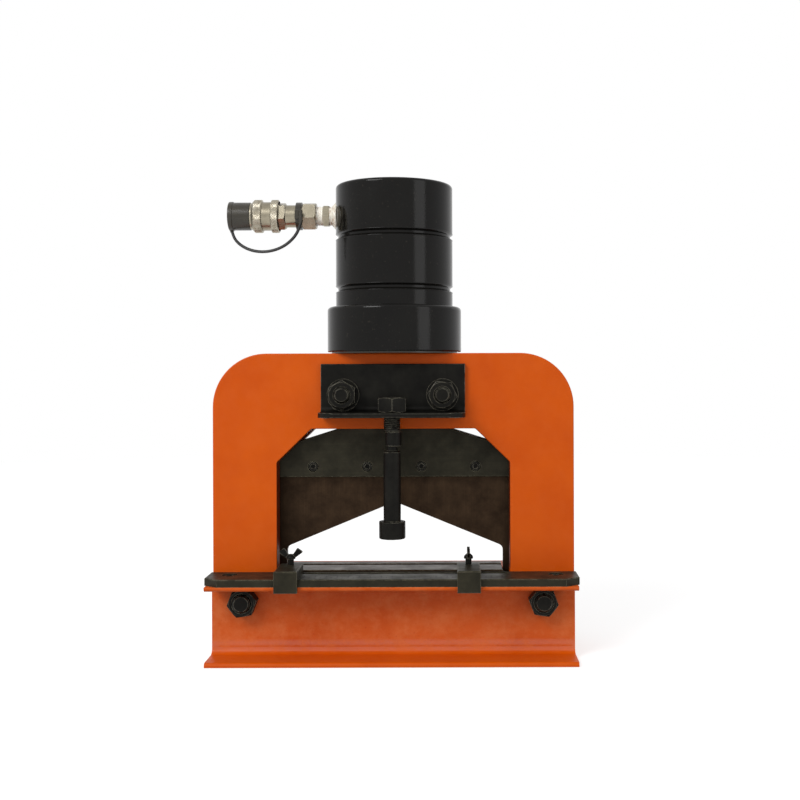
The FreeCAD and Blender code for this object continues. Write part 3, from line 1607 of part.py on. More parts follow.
for name, make in PIECES.items():
    shape = make()
    shape.translate(Y_AXIS * mid_plane_y)
    solids = shape.Solids
    if not shape.isValid() or not solids:
        raise SystemExit(name + " is not a valid solid")
    box = shape.optimalBoundingBox(False, False)
    print("%-20s %2d solid(s) %9.1f mm3  x %.1f %.1f  y %.1f %.1f  z %.1f %.1f" % (
        name, len(solids), shape.Volume, box.XMin, box.XMax, box.YMin, box.YMax, box.ZMin, box.ZMax))
    if len(solids) == 1:
        shape = solids[0]
    shape.exportStep("parts/" + name + ".step")
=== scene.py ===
# %% [markdown]
# # A hydraulic busbar cutter, dressed for its portrait
# The machine is a press frame of two orange side plates on two channels. A black cylinder on
# its crown drives a blade down between two lower blades. The solids come ready from the CAD
# frame, in metres. What is left for Blender is everything that a solid can't say: paint,
# oxide and ground steel, the threads, the knurled coupler, the tape on the pipe thread, the
# graduations, the weld beads and the soft lanyard of the dust plug.
#
# The frame is loaded first, because every new piece is measured from it.

# %% Load the frame
import json
import math

import bpy
from mathutils import Matrix, Vector


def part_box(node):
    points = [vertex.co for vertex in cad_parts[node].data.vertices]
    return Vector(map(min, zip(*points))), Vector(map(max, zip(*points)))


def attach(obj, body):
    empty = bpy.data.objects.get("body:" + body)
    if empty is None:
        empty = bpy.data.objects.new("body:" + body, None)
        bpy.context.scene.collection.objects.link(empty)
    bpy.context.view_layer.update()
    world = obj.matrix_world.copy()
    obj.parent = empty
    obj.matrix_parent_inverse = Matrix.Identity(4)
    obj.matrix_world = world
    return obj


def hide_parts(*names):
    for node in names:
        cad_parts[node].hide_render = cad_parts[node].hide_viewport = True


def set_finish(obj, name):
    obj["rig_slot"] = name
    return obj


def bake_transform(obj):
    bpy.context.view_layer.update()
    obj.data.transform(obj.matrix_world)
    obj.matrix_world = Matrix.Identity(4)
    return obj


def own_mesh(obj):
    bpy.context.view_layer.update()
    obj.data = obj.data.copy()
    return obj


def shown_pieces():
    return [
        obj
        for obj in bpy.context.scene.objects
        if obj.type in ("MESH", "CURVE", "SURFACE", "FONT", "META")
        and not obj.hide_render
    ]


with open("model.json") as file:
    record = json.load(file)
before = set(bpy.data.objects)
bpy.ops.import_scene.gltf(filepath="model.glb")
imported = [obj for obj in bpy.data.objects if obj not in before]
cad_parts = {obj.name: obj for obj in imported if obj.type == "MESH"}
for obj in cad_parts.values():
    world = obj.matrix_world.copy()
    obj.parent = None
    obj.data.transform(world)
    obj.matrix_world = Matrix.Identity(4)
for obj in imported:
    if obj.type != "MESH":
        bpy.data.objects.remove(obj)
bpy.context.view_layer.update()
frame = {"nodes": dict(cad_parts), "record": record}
MM = 0.001
QUARTER_TURN = math.radians(90)
MID_Y = 2.5  # the machine's middle plane, in mm

# %% [markdown]
# ## Camera
# A photograph of a machine is taken from some way off with a longish lens, so that the front
# and the back keep almost the same size. Here the lens stands 1030 mm in front of the side
# plate, looks straight along +Y, and sits a little right of the middle: that is why the left
# inner faces of the throat show. The picture is moved in its frame by lens shift and not by
# turning the camera, because a turned camera would make the upright edges lean. The camera is
# rolled by a fifth of a degree, as the one that took the picture was.

# %% Set the camera up
PICTURE_SIDE = 800
SHIFT_IN_PIXELS = (-49.6, -24.8)
ROLL = math.radians(0.17)
camera_data = bpy.data.cameras.new("portrait_lens")
camera_data.lens, camera_data.sensor_width = 49.69, 36.0
camera_data.shift_x, camera_data.shift_y = (shift / PICTURE_SIDE for shift in SHIFT_IN_PIXELS)
camera = bpy.data.objects.new("portrait_camera", camera_data)
camera.location = (0.05273, -1.0585, 0.262)
camera.rotation_euler = (QUARTER_TURN, ROLL, 0)
bpy.context.collection.objects.link(camera)
bpy.context.scene.camera = camera
bpy.context.scene.view_settings.view_transform = "Standard"
print("camera", tuple(camera.location), "lens", camera_data.lens)

# %% [markdown]
# ## The lanyard
# The dust plug hangs on a short plastic cord that runs from a lug on the plug to a lug on the
# ring behind the coupler. A cord has a fixed length; here it is drawn as one smooth curve that
# sags under its own weight. A NURBS curve does this with few points, and its end points stay
# where they are put.

# %% Draw the cord's route
route_mm = [
    (-155.7, 0.0, -14.8), (-154.3, -0.2, -19.6), (-150.7, -0.8, -24.8), (-144.8, -1.8, -29.4),
    (-137.0, -3.2, -32.9), (-127.9, -5.0, -34.6), (-118.4, -7.2, -34.3), (-109.2, -9.6, -32.0),
    (-101.0, -12.0, -27.8), (-94.4, -14.2, -22.1), (-89.8, -15.7, -15.4), (-88.2, -16.2, -9.4),
]
PORT_Z = 415.0  # the port's axis above the floor, in mm
route = [Vector((x, y + MID_Y, PORT_Z + z)) * MM for x, y, z in route_mm]
cord_diameter = 2.9 * MM


def drawn_curve(name, points, thickness):
    """A smooth NURBS curve through the region of the points, as thick as asked."""
    data = bpy.data.curves.new(name, "CURVE")
    data.dimensions = "3D"
    data.resolution_u = 12
    line = data.splines.new("NURBS")
    line.points.add(len(points) - 1)
    for place, point in zip(line.points, points):
        place.co = (*point, 1)
    line.order_u, line.use_endpoint_u = 3, True
    data.bevel_depth, data.bevel_resolution, data.use_fill_caps = thickness / 2, 4, True
    curve = bpy.data.objects.new(name, data)
    bpy.context.collection.objects.link(curve)
    return curve


def only(piece):
    """Deselects everything, then selects and activates the one piece."""
    bpy.ops.object.select_all(action="DESELECT")
    piece.select_set(True)
    bpy.context.view_layer.objects.active = piece
    return piece


thin = drawn_curve("lanyard_line", route, 0)
bpy.context.view_layer.update()
evaluated = thin.evaluated_get(bpy.context.evaluated_depsgraph_get())
line_mesh = bpy.data.meshes.new_from_object(evaluated)
bpy.data.objects.remove(thin)
bpy.data.meshes.remove(line_mesh)

# %% Give the cord its thickness
lanyard = only(drawn_curve("lanyard_cord", route, cord_diameter))
bpy.ops.object.convert(target="MESH")
lanyard = bpy.context.view_layer.objects.active
lanyard.name = "lanyard_cord"
bpy.ops.object.shade_smooth()
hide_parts("lanyard")
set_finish(lanyard, "cord_black")
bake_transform(lanyard)
print("cord faces", len(lanyard.data.polygons))

# %% [markdown]
# ## Helpers for working by hand
# The next pieces start as primitives and are shaped in edit mode. Blender's operators act on
# whatever is selected, so each piece deselects the rest first. Points and edges are then
# picked by a question about their place, asked in code. A finished piece is given its place
# in its own vertices, so that its patterns stay put.

# %% Small helpers
def picked(piece, kind, question):
    """In edit mode: selects only the vertices or edges for which question(item) is true."""
    bpy.ops.mesh.select_all(action="DESELECT")
    bpy.ops.object.mode_set(mode="OBJECT")
    items = {"VERT": piece.data.vertices, "EDGE": piece.data.edges}[kind]
    for item in items:
        item.select = bool(question(item))
    bpy.ops.object.mode_set(mode="EDIT")
    bpy.ops.mesh.select_mode(type=kind)


def edge_line(piece, edge):
    """The two ends of an edge."""
    a, b = edge.vertices
    return piece.data.vertices[a].co, piece.data.vertices[b].co


def picked_along(piece, length):
    """In edit mode: selects the edges that run from end to end of a cylinder along Z."""
    def runs_along(edge):
        a, b = edge_line(piece, edge)
        return abs(a.z - b.z) > length / 2
    picked(piece, "EDGE", runs_along)


def laid_on_port(piece, near_x, far_x):
    """Turns a piece made about Z into the port's axis, between two distances to the left."""
    piece.rotation_euler = (0, QUARTER_TURN, 0)
    piece.location = (-(near_x + far_x) / 2, MID_Y * MM, PORT_Z * MM)
    return piece


def settled(piece, body, slot_name, name=None, angle=35):
    """Merges doubles, turns the faces outwards, fixes the place and hands the piece over."""
    only(piece)
    bpy.ops.object.mode_set(mode="EDIT")
    bpy.ops.mesh.select_all(action="SELECT")
    bpy.ops.mesh.remove_doubles(threshold=1e-6)
    bpy.ops.mesh.normals_make_consistent(inside=False)
    bpy.ops.object.mode_set(mode="OBJECT")
    bpy.ops.object.transform_apply(location=True, rotation=True, scale=True)
    bpy.ops.object.shade_smooth_by_angle(angle=math.radians(angle))
    if name:
        piece.name = name
    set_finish(piece, slot_name)
    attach(piece, body)
    return piece


def copied(piece, name, move):
    """A copy with its own mesh, moved by a matrix."""
    twin = piece.copy()
    twin.data = piece.data.copy()
    twin.data.transform(move)
    twin.name = name
    bpy.context.collection.objects.link(twin)
    return twin


print("helpers ready")

# %% [markdown]
# ## Thread on the hold-down's stud
# Between the bracket's shelf and the collar a short stretch of thread shows. A thread is a
# ridge of triangular section wound in a helix. It could be painted as a bump, but its
# outline shows against the bright background. So a triangle is drawn at the thread's radius
# and the Screw modifier winds it up, 2 mm for each turn.

# %% Wind the stud's thread
def thread_ridge(name, foot, core, crest, pitch, turns):
    """A helical ridge about Z that starts at the point foot."""
    bpy.ops.object.select_all(action="DESELECT")
    bpy.ops.mesh.primitive_circle_add(vertices=3, radius=0.5, fill_type="NOTHING",
                                      location=(0, 0, 0))
    ridge = bpy.context.view_layer.objects.active
    ridge.name = name
    corners = [(core, 0, 0), (crest, 0, pitch / 2), (core, 0, pitch)]
    for vertex, corner in zip(ridge.data.vertices, corners):
        vertex.co = corner
    wind = ridge.modifiers.new("wind", "SCREW")
    wind.axis, wind.steps, wind.render_steps = "Z", 48, 48
    wind.screw_offset, wind.iterations = pitch, turns
    wind.use_merge_vertices = False
    bpy.ops.object.modifier_apply(modifier=wind.name)
    bpy.ops.object.mode_set(mode="EDIT")
    bpy.ops.mesh.select_all(action="DESELECT")
    bpy.ops.mesh.select_mode(type="EDGE")
    bpy.ops.mesh.select_non_manifold()
    bpy.ops.mesh.fill_holes(sides=4)
    bpy.ops.object.mode_set(mode="OBJECT")
    ridge.location = foot
    return ridge


thread_foot = Vector((0, -53.0 + MID_Y, 211.5)) * MM
stud_thread = thread_ridge("hold_down_thread", thread_foot, core=7.0 * MM, crest=7.9 * MM,
                           pitch=2 * MM, turns=6)
settled(stud_thread, "base", "black_oxide")
print("thread faces", len(stud_thread.data.polygons))

# %% [markdown]
# ## Springs as coils
# Three coil springs sit inside, under the piston, in the coupler's sleeve and behind its
# valve. In the solids they have one length. Here each one is a small circle wound up by a Screw
# modifier and closed at both ends, in the box of its solid.

# %% Wind the springs
def wound_spring(node, along, wire, turns):
    """A coil in the box of its solid, along X or Z, on the base body."""
    low, high = (Vector(corner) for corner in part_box(node))
    middle, size = (low + high) / 2, high - low
    across = size.y - wire
    length = size[along] - wire
    bpy.ops.object.select_all(action="DESELECT")
    bpy.ops.mesh.primitive_circle_add(vertices=14, radius=wire / 2, rotation=(QUARTER_TURN, 0, 0),
                                      location=(across / 2, 0, -length / 2))
    spring = bpy.context.view_layer.objects.active
    spring.name = node + "_coil"
    bpy.ops.object.transform_apply(location=True, rotation=True, scale=True)
    wind = spring.modifiers.new("wind", "SCREW")
    wind.steps = wind.render_steps = 40
    wind.iterations, wind.screw_offset = turns, length / turns
    bpy.ops.object.modifier_apply(modifier=wind.name)
    bpy.ops.object.mode_set(mode="EDIT")
    bpy.ops.mesh.select_all(action="DESELECT")
    bpy.ops.mesh.select_non_manifold(extend=False, use_wire=False, use_boundary=True,
                                     use_multi_face=False, use_non_contiguous=False,
                                     use_verts=False)
    bpy.ops.mesh.edge_face_add()
    bpy.ops.object.mode_set(mode="OBJECT")
    if along == 0:
        spring.rotation_euler = (0, QUARTER_TURN, 0)
    spring.location = middle
    settled(spring, "base", "spring_steel", angle=60)
    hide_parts(node)
    axis = Vector((0, 0, 0))
    axis[along] = 1
    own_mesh(spring)
    return spring


springs = [wound_spring("return_spring", 2, 4.0 * MM, 5),
           wound_spring("sleeve_spring", 0, 1.0 * MM, 6),
           wound_spring("valve_spring", 0, 0.9 * MM, 5)]
print("springs", [(s.name, len(s.data.polygons)) for s in springs])

# %% [markdown]
# ## Knurling on the coupler's sleeve
# The sleeve of a quick coupler is drawn back by wet or gloved fingers, so its two thick rings
# are knurled: two sets of slanting grooves cross and leave rows of small pyramids. A bump
# would look flat along the outline. Here a band of squares is poked, its old edges are
# dissolved so that diamonds are left, and a second poke lifts each diamond to a pyramid.

# %% Knurl the two rings
def knurled_band(name, near_x, far_x, radius, around, rows, lift):
    """A band of raised diamonds about the port's axis, between two distances along X."""
    length = far_x - near_x
    bpy.ops.object.select_all(action="DESELECT")
    bpy.ops.mesh.primitive_cylinder_add(vertices=around, radius=radius, depth=length,
                                        end_fill_type="NOTHING", location=(0, 0, 0))
    band = bpy.context.view_layer.objects.active
    band.name = name
    bpy.ops.object.mode_set(mode="EDIT")
    picked_along(band, length)
    bpy.ops.mesh.subdivide(number_cuts=rows - 1)
    bpy.ops.object.mode_set(mode="OBJECT")
    old_edges = {tuple(sorted(e.vertices)) for e in band.data.edges}
    rim = length / 2 - length / rows / 4
    bpy.ops.object.mode_set(mode="EDIT")
    bpy.ops.mesh.select_mode(type="FACE")
    bpy.ops.mesh.select_all(action="SELECT")
    bpy.ops.mesh.poke()
    picked(band, "EDGE", lambda e: tuple(sorted(e.vertices)) in old_edges
           and min(abs(p.z) for p in edge_line(band, e)) < rim)
    bpy.ops.mesh.dissolve_edges(use_verts=False)
    bpy.ops.mesh.select_mode(type="FACE")
    bpy.ops.mesh.select_all(action="SELECT")
    bpy.ops.mesh.poke(offset=lift)
    bpy.ops.mesh.select_mode(type="EDGE")
    bpy.ops.mesh.select_all(action="DESELECT")
    bpy.ops.mesh.select_non_manifold()
    bpy.ops.mesh.extrude_region_move()
    bpy.ops.transform.resize(value=(0.96, 0.96, 1))
    bpy.ops.object.mode_set(mode="OBJECT")
    return laid_on_port(band, near_x, far_x)


knurl = {"radius": 15.54 * MM, "around": 92, "rows": 6, "lift": 0.2 * MM}
rear_knurl = knurled_band("rear_knurl", 110.6 * MM, 116.9 * MM, **knurl)
front_knurl = knurled_band("front_knurl", 126.4 * MM, 133.4 * MM, **knurl)
for band in (rear_knurl, front_knurl):
    settled(band, "coupler_ring", "zinc", angle=5)
    print(band.name, "faces", len(band.data.polygons))

# %% [markdown]
# ## Tape on the pipe threads
# The nipple's tapered threads are sealed with white tape. The tape is pulled tight, so the
# thread's turns show through it as soft rings, and it has small creases. Each wrap starts as
# a cylinder that is cut into rings. Every second ring is drawn in, and a cloud texture
# moves the surface a little so that no two creases are the same.

# %% Wrap the tape
def taped_wrap(name, near_x, far_x, crest, root, turns):
    """Tape over a thread about the port's axis: rings in and out, then creased."""
    length = far_x - near_x
    bpy.ops.object.select_all(action="DESELECT")
    bpy.ops.mesh.primitive_cylinder_add(vertices=96, radius=crest, depth=length,
                                        location=(0, 0, 0))
    wrap = bpy.context.view_layer.objects.active
    wrap.name = name
    bpy.ops.object.mode_set(mode="EDIT")
    picked_along(wrap, length)
    bpy.ops.mesh.subdivide(number_cuts=4 * turns - 1)
    step = length / (4 * turns)
    for phase, share in ((0, 1.0), (1, 0.5)):
        scale = 1 - (1 - root / crest) * share
        spots = [-length / 2 + step * k for k in range(1, 4 * turns)
                 if (k % 4 == 0) == (phase == 0) and (k % 2 == phase)]
        picked(wrap, "VERT", lambda v: any(abs(v.co.z - s) < step / 4 for s in spots))
        bpy.ops.transform.resize(value=(scale, scale, 1))
    bpy.ops.object.mode_set(mode="OBJECT")
    clouds = bpy.data.textures.new(name + "_creases", "CLOUDS")
    clouds.noise_scale = 2.5 * MM
    crease = wrap.modifiers.new("creases", "DISPLACE")
    crease.texture, crease.strength, crease.mid_level = clouds, 0.3 * MM, 0.5
    bpy.ops.object.modifier_apply(modifier=crease.name)
    return laid_on_port(wrap, near_x, far_x)


thread_rings = {"crest": 9.1 * MM, "root": 8.72 * MM}
inner_tape = taped_wrap("inner_tape", 58.4 * MM, 61.9 * MM, turns=2, **thread_rings)
outer_tape = taped_wrap("outer_tape", 68.1 * MM, 74.5 * MM, turns=4, **thread_rings)
boss_tape = taped_wrap("boss_tape", 55.0 * MM, 59.2 * MM, crest=9.5 * MM, root=9.2 * MM, turns=3)

# the tape on the boss widens towards the barrel, in steps
WIDER = 1.066
only(boss_tape)
bpy.ops.object.mode_set(mode="EDIT")
for step_start in (-1.7, -1.1, -0.5, 0.1, 0.7):
    picked(boss_tape, "VERT", lambda v: v.co.z > step_start * MM)
    bpy.ops.transform.resize(value=(1, WIDER, WIDER))
bpy.ops.object.mode_set(mode="OBJECT")
for wrap in (inner_tape, outer_tape, boss_tape):
    settled(wrap, "base", "white_tape", angle=60)
    print(wrap.name, "faces", len(wrap.data.polygons))
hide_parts("thread_tape")

# %% [markdown]
# ## Lips of the barrel's grooves
# A turned groove has a slightly broken edge, where the enamel gathers to a thin round lip. It
# shows as a fine bright line, because a round lip always finds something bright to reflect. A
# small flattened circle is spun once around the barrel, and the ring is copied to four edges.

# %% Spin the lips
def groove_lip(name, radius, z, size):
    """A thin ring round the barrel's axis."""
    bpy.ops.object.select_all(action="DESELECT")
    bpy.ops.mesh.primitive_circle_add(vertices=10, radius=size, location=(radius, 0, 0),
                                      rotation=(QUARTER_TURN, 0, 0))
    lip = bpy.context.view_layer.objects.active
    lip.name = name
    bpy.ops.object.transform_apply(location=True, rotation=True, scale=True)
    bpy.ops.object.mode_set(mode="EDIT")
    bpy.ops.mesh.select_all(action="SELECT")
    bpy.ops.transform.resize(value=(0.8, 1, 1.1), center_override=(radius, 0, 0))
    bpy.ops.mesh.spin(steps=160, angle=math.tau, center=(0, 0, 0), axis=(0, 0, 1))
    bpy.ops.object.mode_set(mode="OBJECT")
    lip.data.transform(Matrix.Translation((0, MID_Y * MM, z)))
    return lip


groove_edges = [z * MM for z in (390.7, 396.9, 340.7, 346.9)]
first_lip = groove_lip("groove_lip_1", radius=55.7 * MM, z=groove_edges[0], size=0.42 * MM)
lips = [first_lip]
for number, z in enumerate(groove_edges[1:], 2):
    lift = Matrix.Translation((0, 0, z - groove_edges[0]))
    lips.append(copied(first_lip, f"groove_lip_{number}", lift))
for lip in lips:
    settled(lip, "base", "black_paint", angle=80)
print("lips", len(lips), "faces each", len(first_lip.data.polygons))

# %% [markdown]
# ## Graduations on the scale plate
# The plate is divided along its length so that a bar can be cut in its middle or to a length:
# a long line at each centimetre and a short one between. Lines cut by a tool are
# shallow, dark inside, and have a fine raised edge. One line is made from a flat strip whose
# rim is inset and lifted, then copied along the plate.

# %% Cut the graduations
def scale_line(name, x, front_y, length, width):
    """One graduation on the plate's top: a dark strip within a slightly raised rim."""
    bpy.ops.object.select_all(action="DESELECT")
    bpy.ops.mesh.primitive_plane_add(size=1, location=(0, 0, 0))
    line = bpy.context.view_layer.objects.active
    line.name = name
    bpy.ops.object.mode_set(mode="EDIT")
    bpy.ops.mesh.select_all(action="SELECT")
    bpy.ops.transform.resize(value=(width, length, 1))
    bpy.ops.mesh.inset(thickness=width / 12, depth=0.04 * MM)
    bpy.ops.mesh.inset(thickness=width / 12, depth=-0.03 * MM)
    bpy.ops.object.mode_set(mode="OBJECT")
    line.data.transform(Matrix.Translation((x, front_y + length / 2, PLATE_TOP_Z)))
    return line


PLATE_TOP_Z = 79.01 * MM
CENTIMETRE = 0.01
lines_front_y = -63.0 * MM
first_long = scale_line("scale_line_0", 0, lines_front_y, 12.5 * MM, 1.5 * MM)
first_short = scale_line("scale_line_0_5", 5 * MM, lines_front_y, 6 * MM, 1.2 * MM)
lines = [first_long, first_short]
for step in range(-10, 11):
    along_plate = Matrix.Translation((step * CENTIMETRE, 0, 0))
    if step:
        lines.append(copied(first_long, f"scale_line_{step}", along_plate))
    if step and step < 10:
        lines.append(copied(first_short, f"scale_line_{step}_5", along_plate))
only(lines[0])
for line in lines:
    line.select_set(True)
bpy.ops.object.join()
graduations = bpy.context.view_layer.objects.active
settled(graduations, "base", "grey_plastic", "graduations")
print("lines", len(lines), "faces", len(graduations.data.polygons))

# %% [markdown]
# ## Weld beads in the frame's sides
# The side plates are welded to the bars between them. The bars are set back a little, and the
# bead fills the corner. A welder's bead is a row of overlapping drops that freeze one after
# the other, so it is rippled. It starts as a thin cylinder cut into rings, and every second
# ring is pulled in.

# %% Lay the weld beads
def weld_bead(name, start, end, radius, ripple):
    """A rippled bead from one point straight to another."""
    run = end - start
    count = max(4, int(run.length / ripple))
    bpy.ops.object.select_all(action="DESELECT")
    bpy.ops.mesh.primitive_cylinder_add(vertices=10, radius=radius, depth=run.length,
                                        location=(0, 0, 0))
    bead = bpy.context.view_layer.objects.active
    bead.name = name
    bpy.ops.object.mode_set(mode="EDIT")
    picked_along(bead, run.length)
    bpy.ops.mesh.subdivide(number_cuts=2 * count - 1)
    step = run.length / (2 * count)
    picked(bead, "VERT", lambda v: round((v.co.z + run.length / 2) / step) % 2 == 0)
    bpy.ops.transform.resize(value=(0.82, 0.82, 1))
    bpy.ops.object.mode_set(mode="OBJECT")
    turn = run.to_track_quat("Z", "Y").to_matrix().to_4x4()
    bead.data.transform(Matrix.Translation((start + end) / 2) @ turn)
    return bead


BEAD_X, BEAD_Y = 166.9, 14.4  # from the middle, in mm
BEAD_FOOT_Z, BEAD_TOP_Z = 0.004, 0.231
beads = []
for side, side_name in ((-1, "left"), (1, "right")):
    for face, face_name in ((-1, "front"), (1, "rear")):
        x = side * BEAD_X * MM
        y = (face * BEAD_Y + MID_Y) * MM
        bead = weld_bead(f"{side_name}_{face_name}_weld", Vector((x, y, BEAD_FOOT_Z)),
                         Vector((x, y, BEAD_TOP_Z)), radius=1.5 * MM, ripple=3.2 * MM)
        beads.append(settled(bead, "base", "orange_paint", angle=70))
print("weld beads", len(beads), "faces each", len(beads[0].data.polygons))

# %% [markdown]
# ## Colours and effects that several finishes share
# A colour picked from a picture is stored for the eye. A shader wants it linear, so a small
# function turns one into the other. Effects that several finishes share, such as clouds in a
# coating, tool marks or bright worn edges, are node groups. A group puts out only what varies
# over the surface, and each finish keeps its constants on its own shader.

# %% Colour and node helpers
def colour(r, g, b):
    """A colour as it is seen in a picture, as the linear value for a shader."""
    parts = [c / 255 for c in (r, g, b)]
    return (*[c / 12.92 if c <= 0.04045 else ((c + 0.055) / 1.055) ** 2.4 for c in parts], 1)


def new_effect(name, **outputs):
    """A node group that reads coordinates: the group, its coordinates and its output node."""
    group = bpy.data.node_groups.new(name, "ShaderNodeTree")
    group.interface.new_socket("Vector", in_out="INPUT", socket_type="NodeSocketVector")
    for label, kind in outputs.items():
        group.interface.new_socket(label, in_out="OUTPUT", socket_type="NodeSocket" + kind)
    start, end = group.nodes.new("NodeGroupInput"), group.nodes.new("NodeGroupOutput")
    return group, start.outputs["Vector"], end


def add(tree, kind, **settings):
    """A new node with its settings."""
    node = tree.nodes.new("ShaderNode" + kind)
    for key, value in settings.items():
        setattr(node, key, value)
    return node


def noise(tree, vector, scale, detail=3.0, roughness=0.5):
    """The value of a Noise texture."""
    node = add(tree, "TexNoise")
    node.inputs["Scale"].default_value = scale
    node.inputs["Detail"].default_value = detail
    node.inputs["Roughness"].default_value = roughness
    tree.links.new(vector, node.inputs["Vector"])
    return node.outputs["Fac"]


def mapped(tree, value, low, high, to_low=0.0, to_high=1.0):
    """A value moved from one range to another and held there."""
    node = add(tree, "MapRange")
    limits = {"From Min": low, "From Max": high, "To Min": to_low, "To Max": to_high}
    for socket, number in limits.items():
        node.inputs[socket].default_value = number
    tree.links.new(value, node.inputs["Value"])
    return node.outputs["Result"]


def weighed(tree, mask, least, most):
    """A mask of 0 to 1, moved so that it runs between two amounts."""
    return mapped(tree, mask, 0, 1, least, most)


def mixed(tree, share, first, second):
    """A colour between two, each a colour or a socket."""
    node = add(tree, "Mix", data_type="RGBA")
    tree.links.new(share, node.inputs["Factor"])
    for socket, thing in ((node.inputs[6], first), (node.inputs[7], second)):
        if isinstance(thing, tuple):
            socket.default_value = thing
        else:
            tree.links.new(thing, socket)
    return node.outputs[2]


def product(tree, a, b):
    """Two values multiplied."""
    node = add(tree, "Math", operation="MULTIPLY")
    tree.links.new(a, node.inputs[0])
    tree.links.new(b, node.inputs[1])
    return node.outputs[0]


def in_band(tree, value, rise, fall):
    """1 where a value lies in a band with soft ends, each end given by two limits."""
    return product(tree, mapped(tree, value, *fall), mapped(tree, value, *rise))


def bumped(tree, height, strength, distance):
    """A normal that a height map gives."""
    node = add(tree, "Bump")
    node.inputs["Strength"].default_value = strength
    node.inputs["Distance"].default_value = distance
    tree.links.new(height, node.inputs["Height"])
    return node.outputs["Normal"]


def stretched(tree, vector, scale):
    """Coordinates stretched by a Mapping node."""
    node = add(tree, "Mapping")
    node.inputs["Scale"].default_value = scale
    tree.links.new(vector, node.inputs["Vector"])
    return node.outputs["Vector"]


print("orange in linear light", [round(c, 3) for c in colour(208, 88, 20)])

# %% [markdown]
# ## Bright edges: wear, and a painted highlight
# Handling rubs a coating off the edges first. The same lighter edge is also painted in for the
# highlight that a rounded edge catches. The CAD mesh has few points, so the edges can't
# be found from its vertices. The Bevel node can find them: it rounds the normal near an edge,
# and where this normal turns away from the face's own, there is an edge. Noise breaks the
# line up, because wear is never even.

# %% Effect: worn edges, with a painted highlight
edges, edges_at, edges_out = new_effect("edge_wear_and_painted_highlight", Mask="Float")
round_off = add(edges, "Bevel", samples=4)
round_off.inputs["Radius"].default_value = 0.9 * MM
flat = add(edges, "NewGeometry")
meet = add(edges, "VectorMath", operation="DOT_PRODUCT")
edges.links.new(round_off.outputs["Normal"], meet.inputs[0])
edges.links.new(flat.outputs["Normal"], meet.inputs[1])
near_edge = mapped(edges, meet.outputs["Value"], 0.995, 0.92)
broken = mapped(edges, noise(edges, edges_at, 260, 5), 0.36, 0.56, 0.1, 1)
edges.links.new(product(edges, near_edge, broken), edges_out.inputs["Mask"])
print("effect", edges.name)

# %% [markdown]
# ## Paint
# Sprayed enamel is never flat. It has a fine orange-peel skin, slow changes of shade where
# the coat is thicker, a little dust, and specks of a darker tone. Three noises of different
# size give these: the slow one moves the shade, the middle one the gloss, and the finest one
# bends the normal.

# %% Effect: painted skin
skin, skin_at, skin_out = new_effect("painted_skin", Shade="Float", Specks="Float",
                                     Dust="Float", Normal="Vector")
for label, scale, detail, roughness, low, high in (
        ("Shade", 16, 4, 0.6, 0.34, 0.66), ("Specks", 330, 3, 0.7, 0.63, 0.74),
        ("Dust", 75, 6, 0.7, 0.42, 0.66)):
    cloud = noise(skin, skin_at, scale, detail, roughness)
    skin.links.new(mapped(skin, cloud, low, high), skin_out.inputs[label])
peel = bumped(skin, noise(skin, skin_at, 900, 2), 0.12, 0.4 * MM)
skin.links.new(peel, skin_out.inputs["Normal"])
print("effect", skin.name)

# %% [markdown]
# ## Tool marks and oxide
# Rolled, milled and ground steel keeps the direction of the tool: fine lines along one axis.
# They come from a noise that is stretched a hundredfold. Blackened steel has a cloudy bloom
# over this, from oil and handling. Both are effects for any steel piece, and the finish
# decides how strongly each one shows.

# %% Effects: tool marks and bloom
marks, marks_at, marks_out = new_effect("tool_marks", Lines="Float", Normal="Vector")
long_lines = stretched(marks, marks_at, (12, 900, 900))
line_value = noise(marks, long_lines, 1.0, 3, 0.6)
marks.links.new(mapped(marks, line_value, 0.3, 0.7), marks_out.inputs["Lines"])
marks.links.new(bumped(marks, line_value, 0.25, 0.1 * MM), marks_out.inputs["Normal"])

bloom, bloom_at, bloom_out = new_effect("oxide_bloom", Cloud="Float", Normal="Vector")
cloud_value = noise(bloom, bloom_at, 55, 6, 0.65)
bloom.links.new(mapped(bloom, cloud_value, 0.36, 0.66), bloom_out.inputs["Cloud"])
grain_value = noise(bloom, bloom_at, 1400, 2, 0.6)
bloom.links.new(bumped(bloom, grain_value, 0.16, 0.15 * MM), bloom_out.inputs["Normal"])
print("effects", marks.name, bloom.name)

# %% [markdown]
# ## Setting up a finish
# Each finish is one material with one Principled shader. Patterns read Object coordinates: a
# CAD piece's object stands at the machine's own origin, so the pattern runs on from piece to
# piece, as dust and light rust would, and stays put when a piece moves.

# %% Helpers for finishes
finishes = {}


def new_finish(name, metallic, roughness, specular=0.5):
    """A material, its node tree, its shader and its Object coordinates."""
    material = bpy.data.materials.new(name)
    material.use_nodes = True
    tree = material.node_tree
    shader = tree.nodes["Principled BSDF"]
    shader.inputs["Metallic"].default_value = metallic
    shader.inputs["Roughness"].default_value = roughness
    shader.inputs["Specular IOR Level"].default_value = specular
    place = add(tree, "TexCoord").outputs["Object"]
    finishes[name] = material
    return tree, shader, place


def effect(tree, group, place):
    """A shared effect, placed in a finish. Its outputs are returned."""
    node = add(tree, "Group", node_tree=group)
    tree.links.new(place, node.inputs["Vector"])
    return node.outputs


def turned_place(tree, place, along):
    """Coordinates turned so that tool marks run along X or Z."""
    if along == "X":
        return place
    node = add(tree, "Mapping")
    node.inputs["Rotation"].default_value = (0, QUARTER_TURN, 0)
    tree.links.new(place, node.inputs["Vector"])
    return node.outputs["Vector"]


print("finish helpers ready")
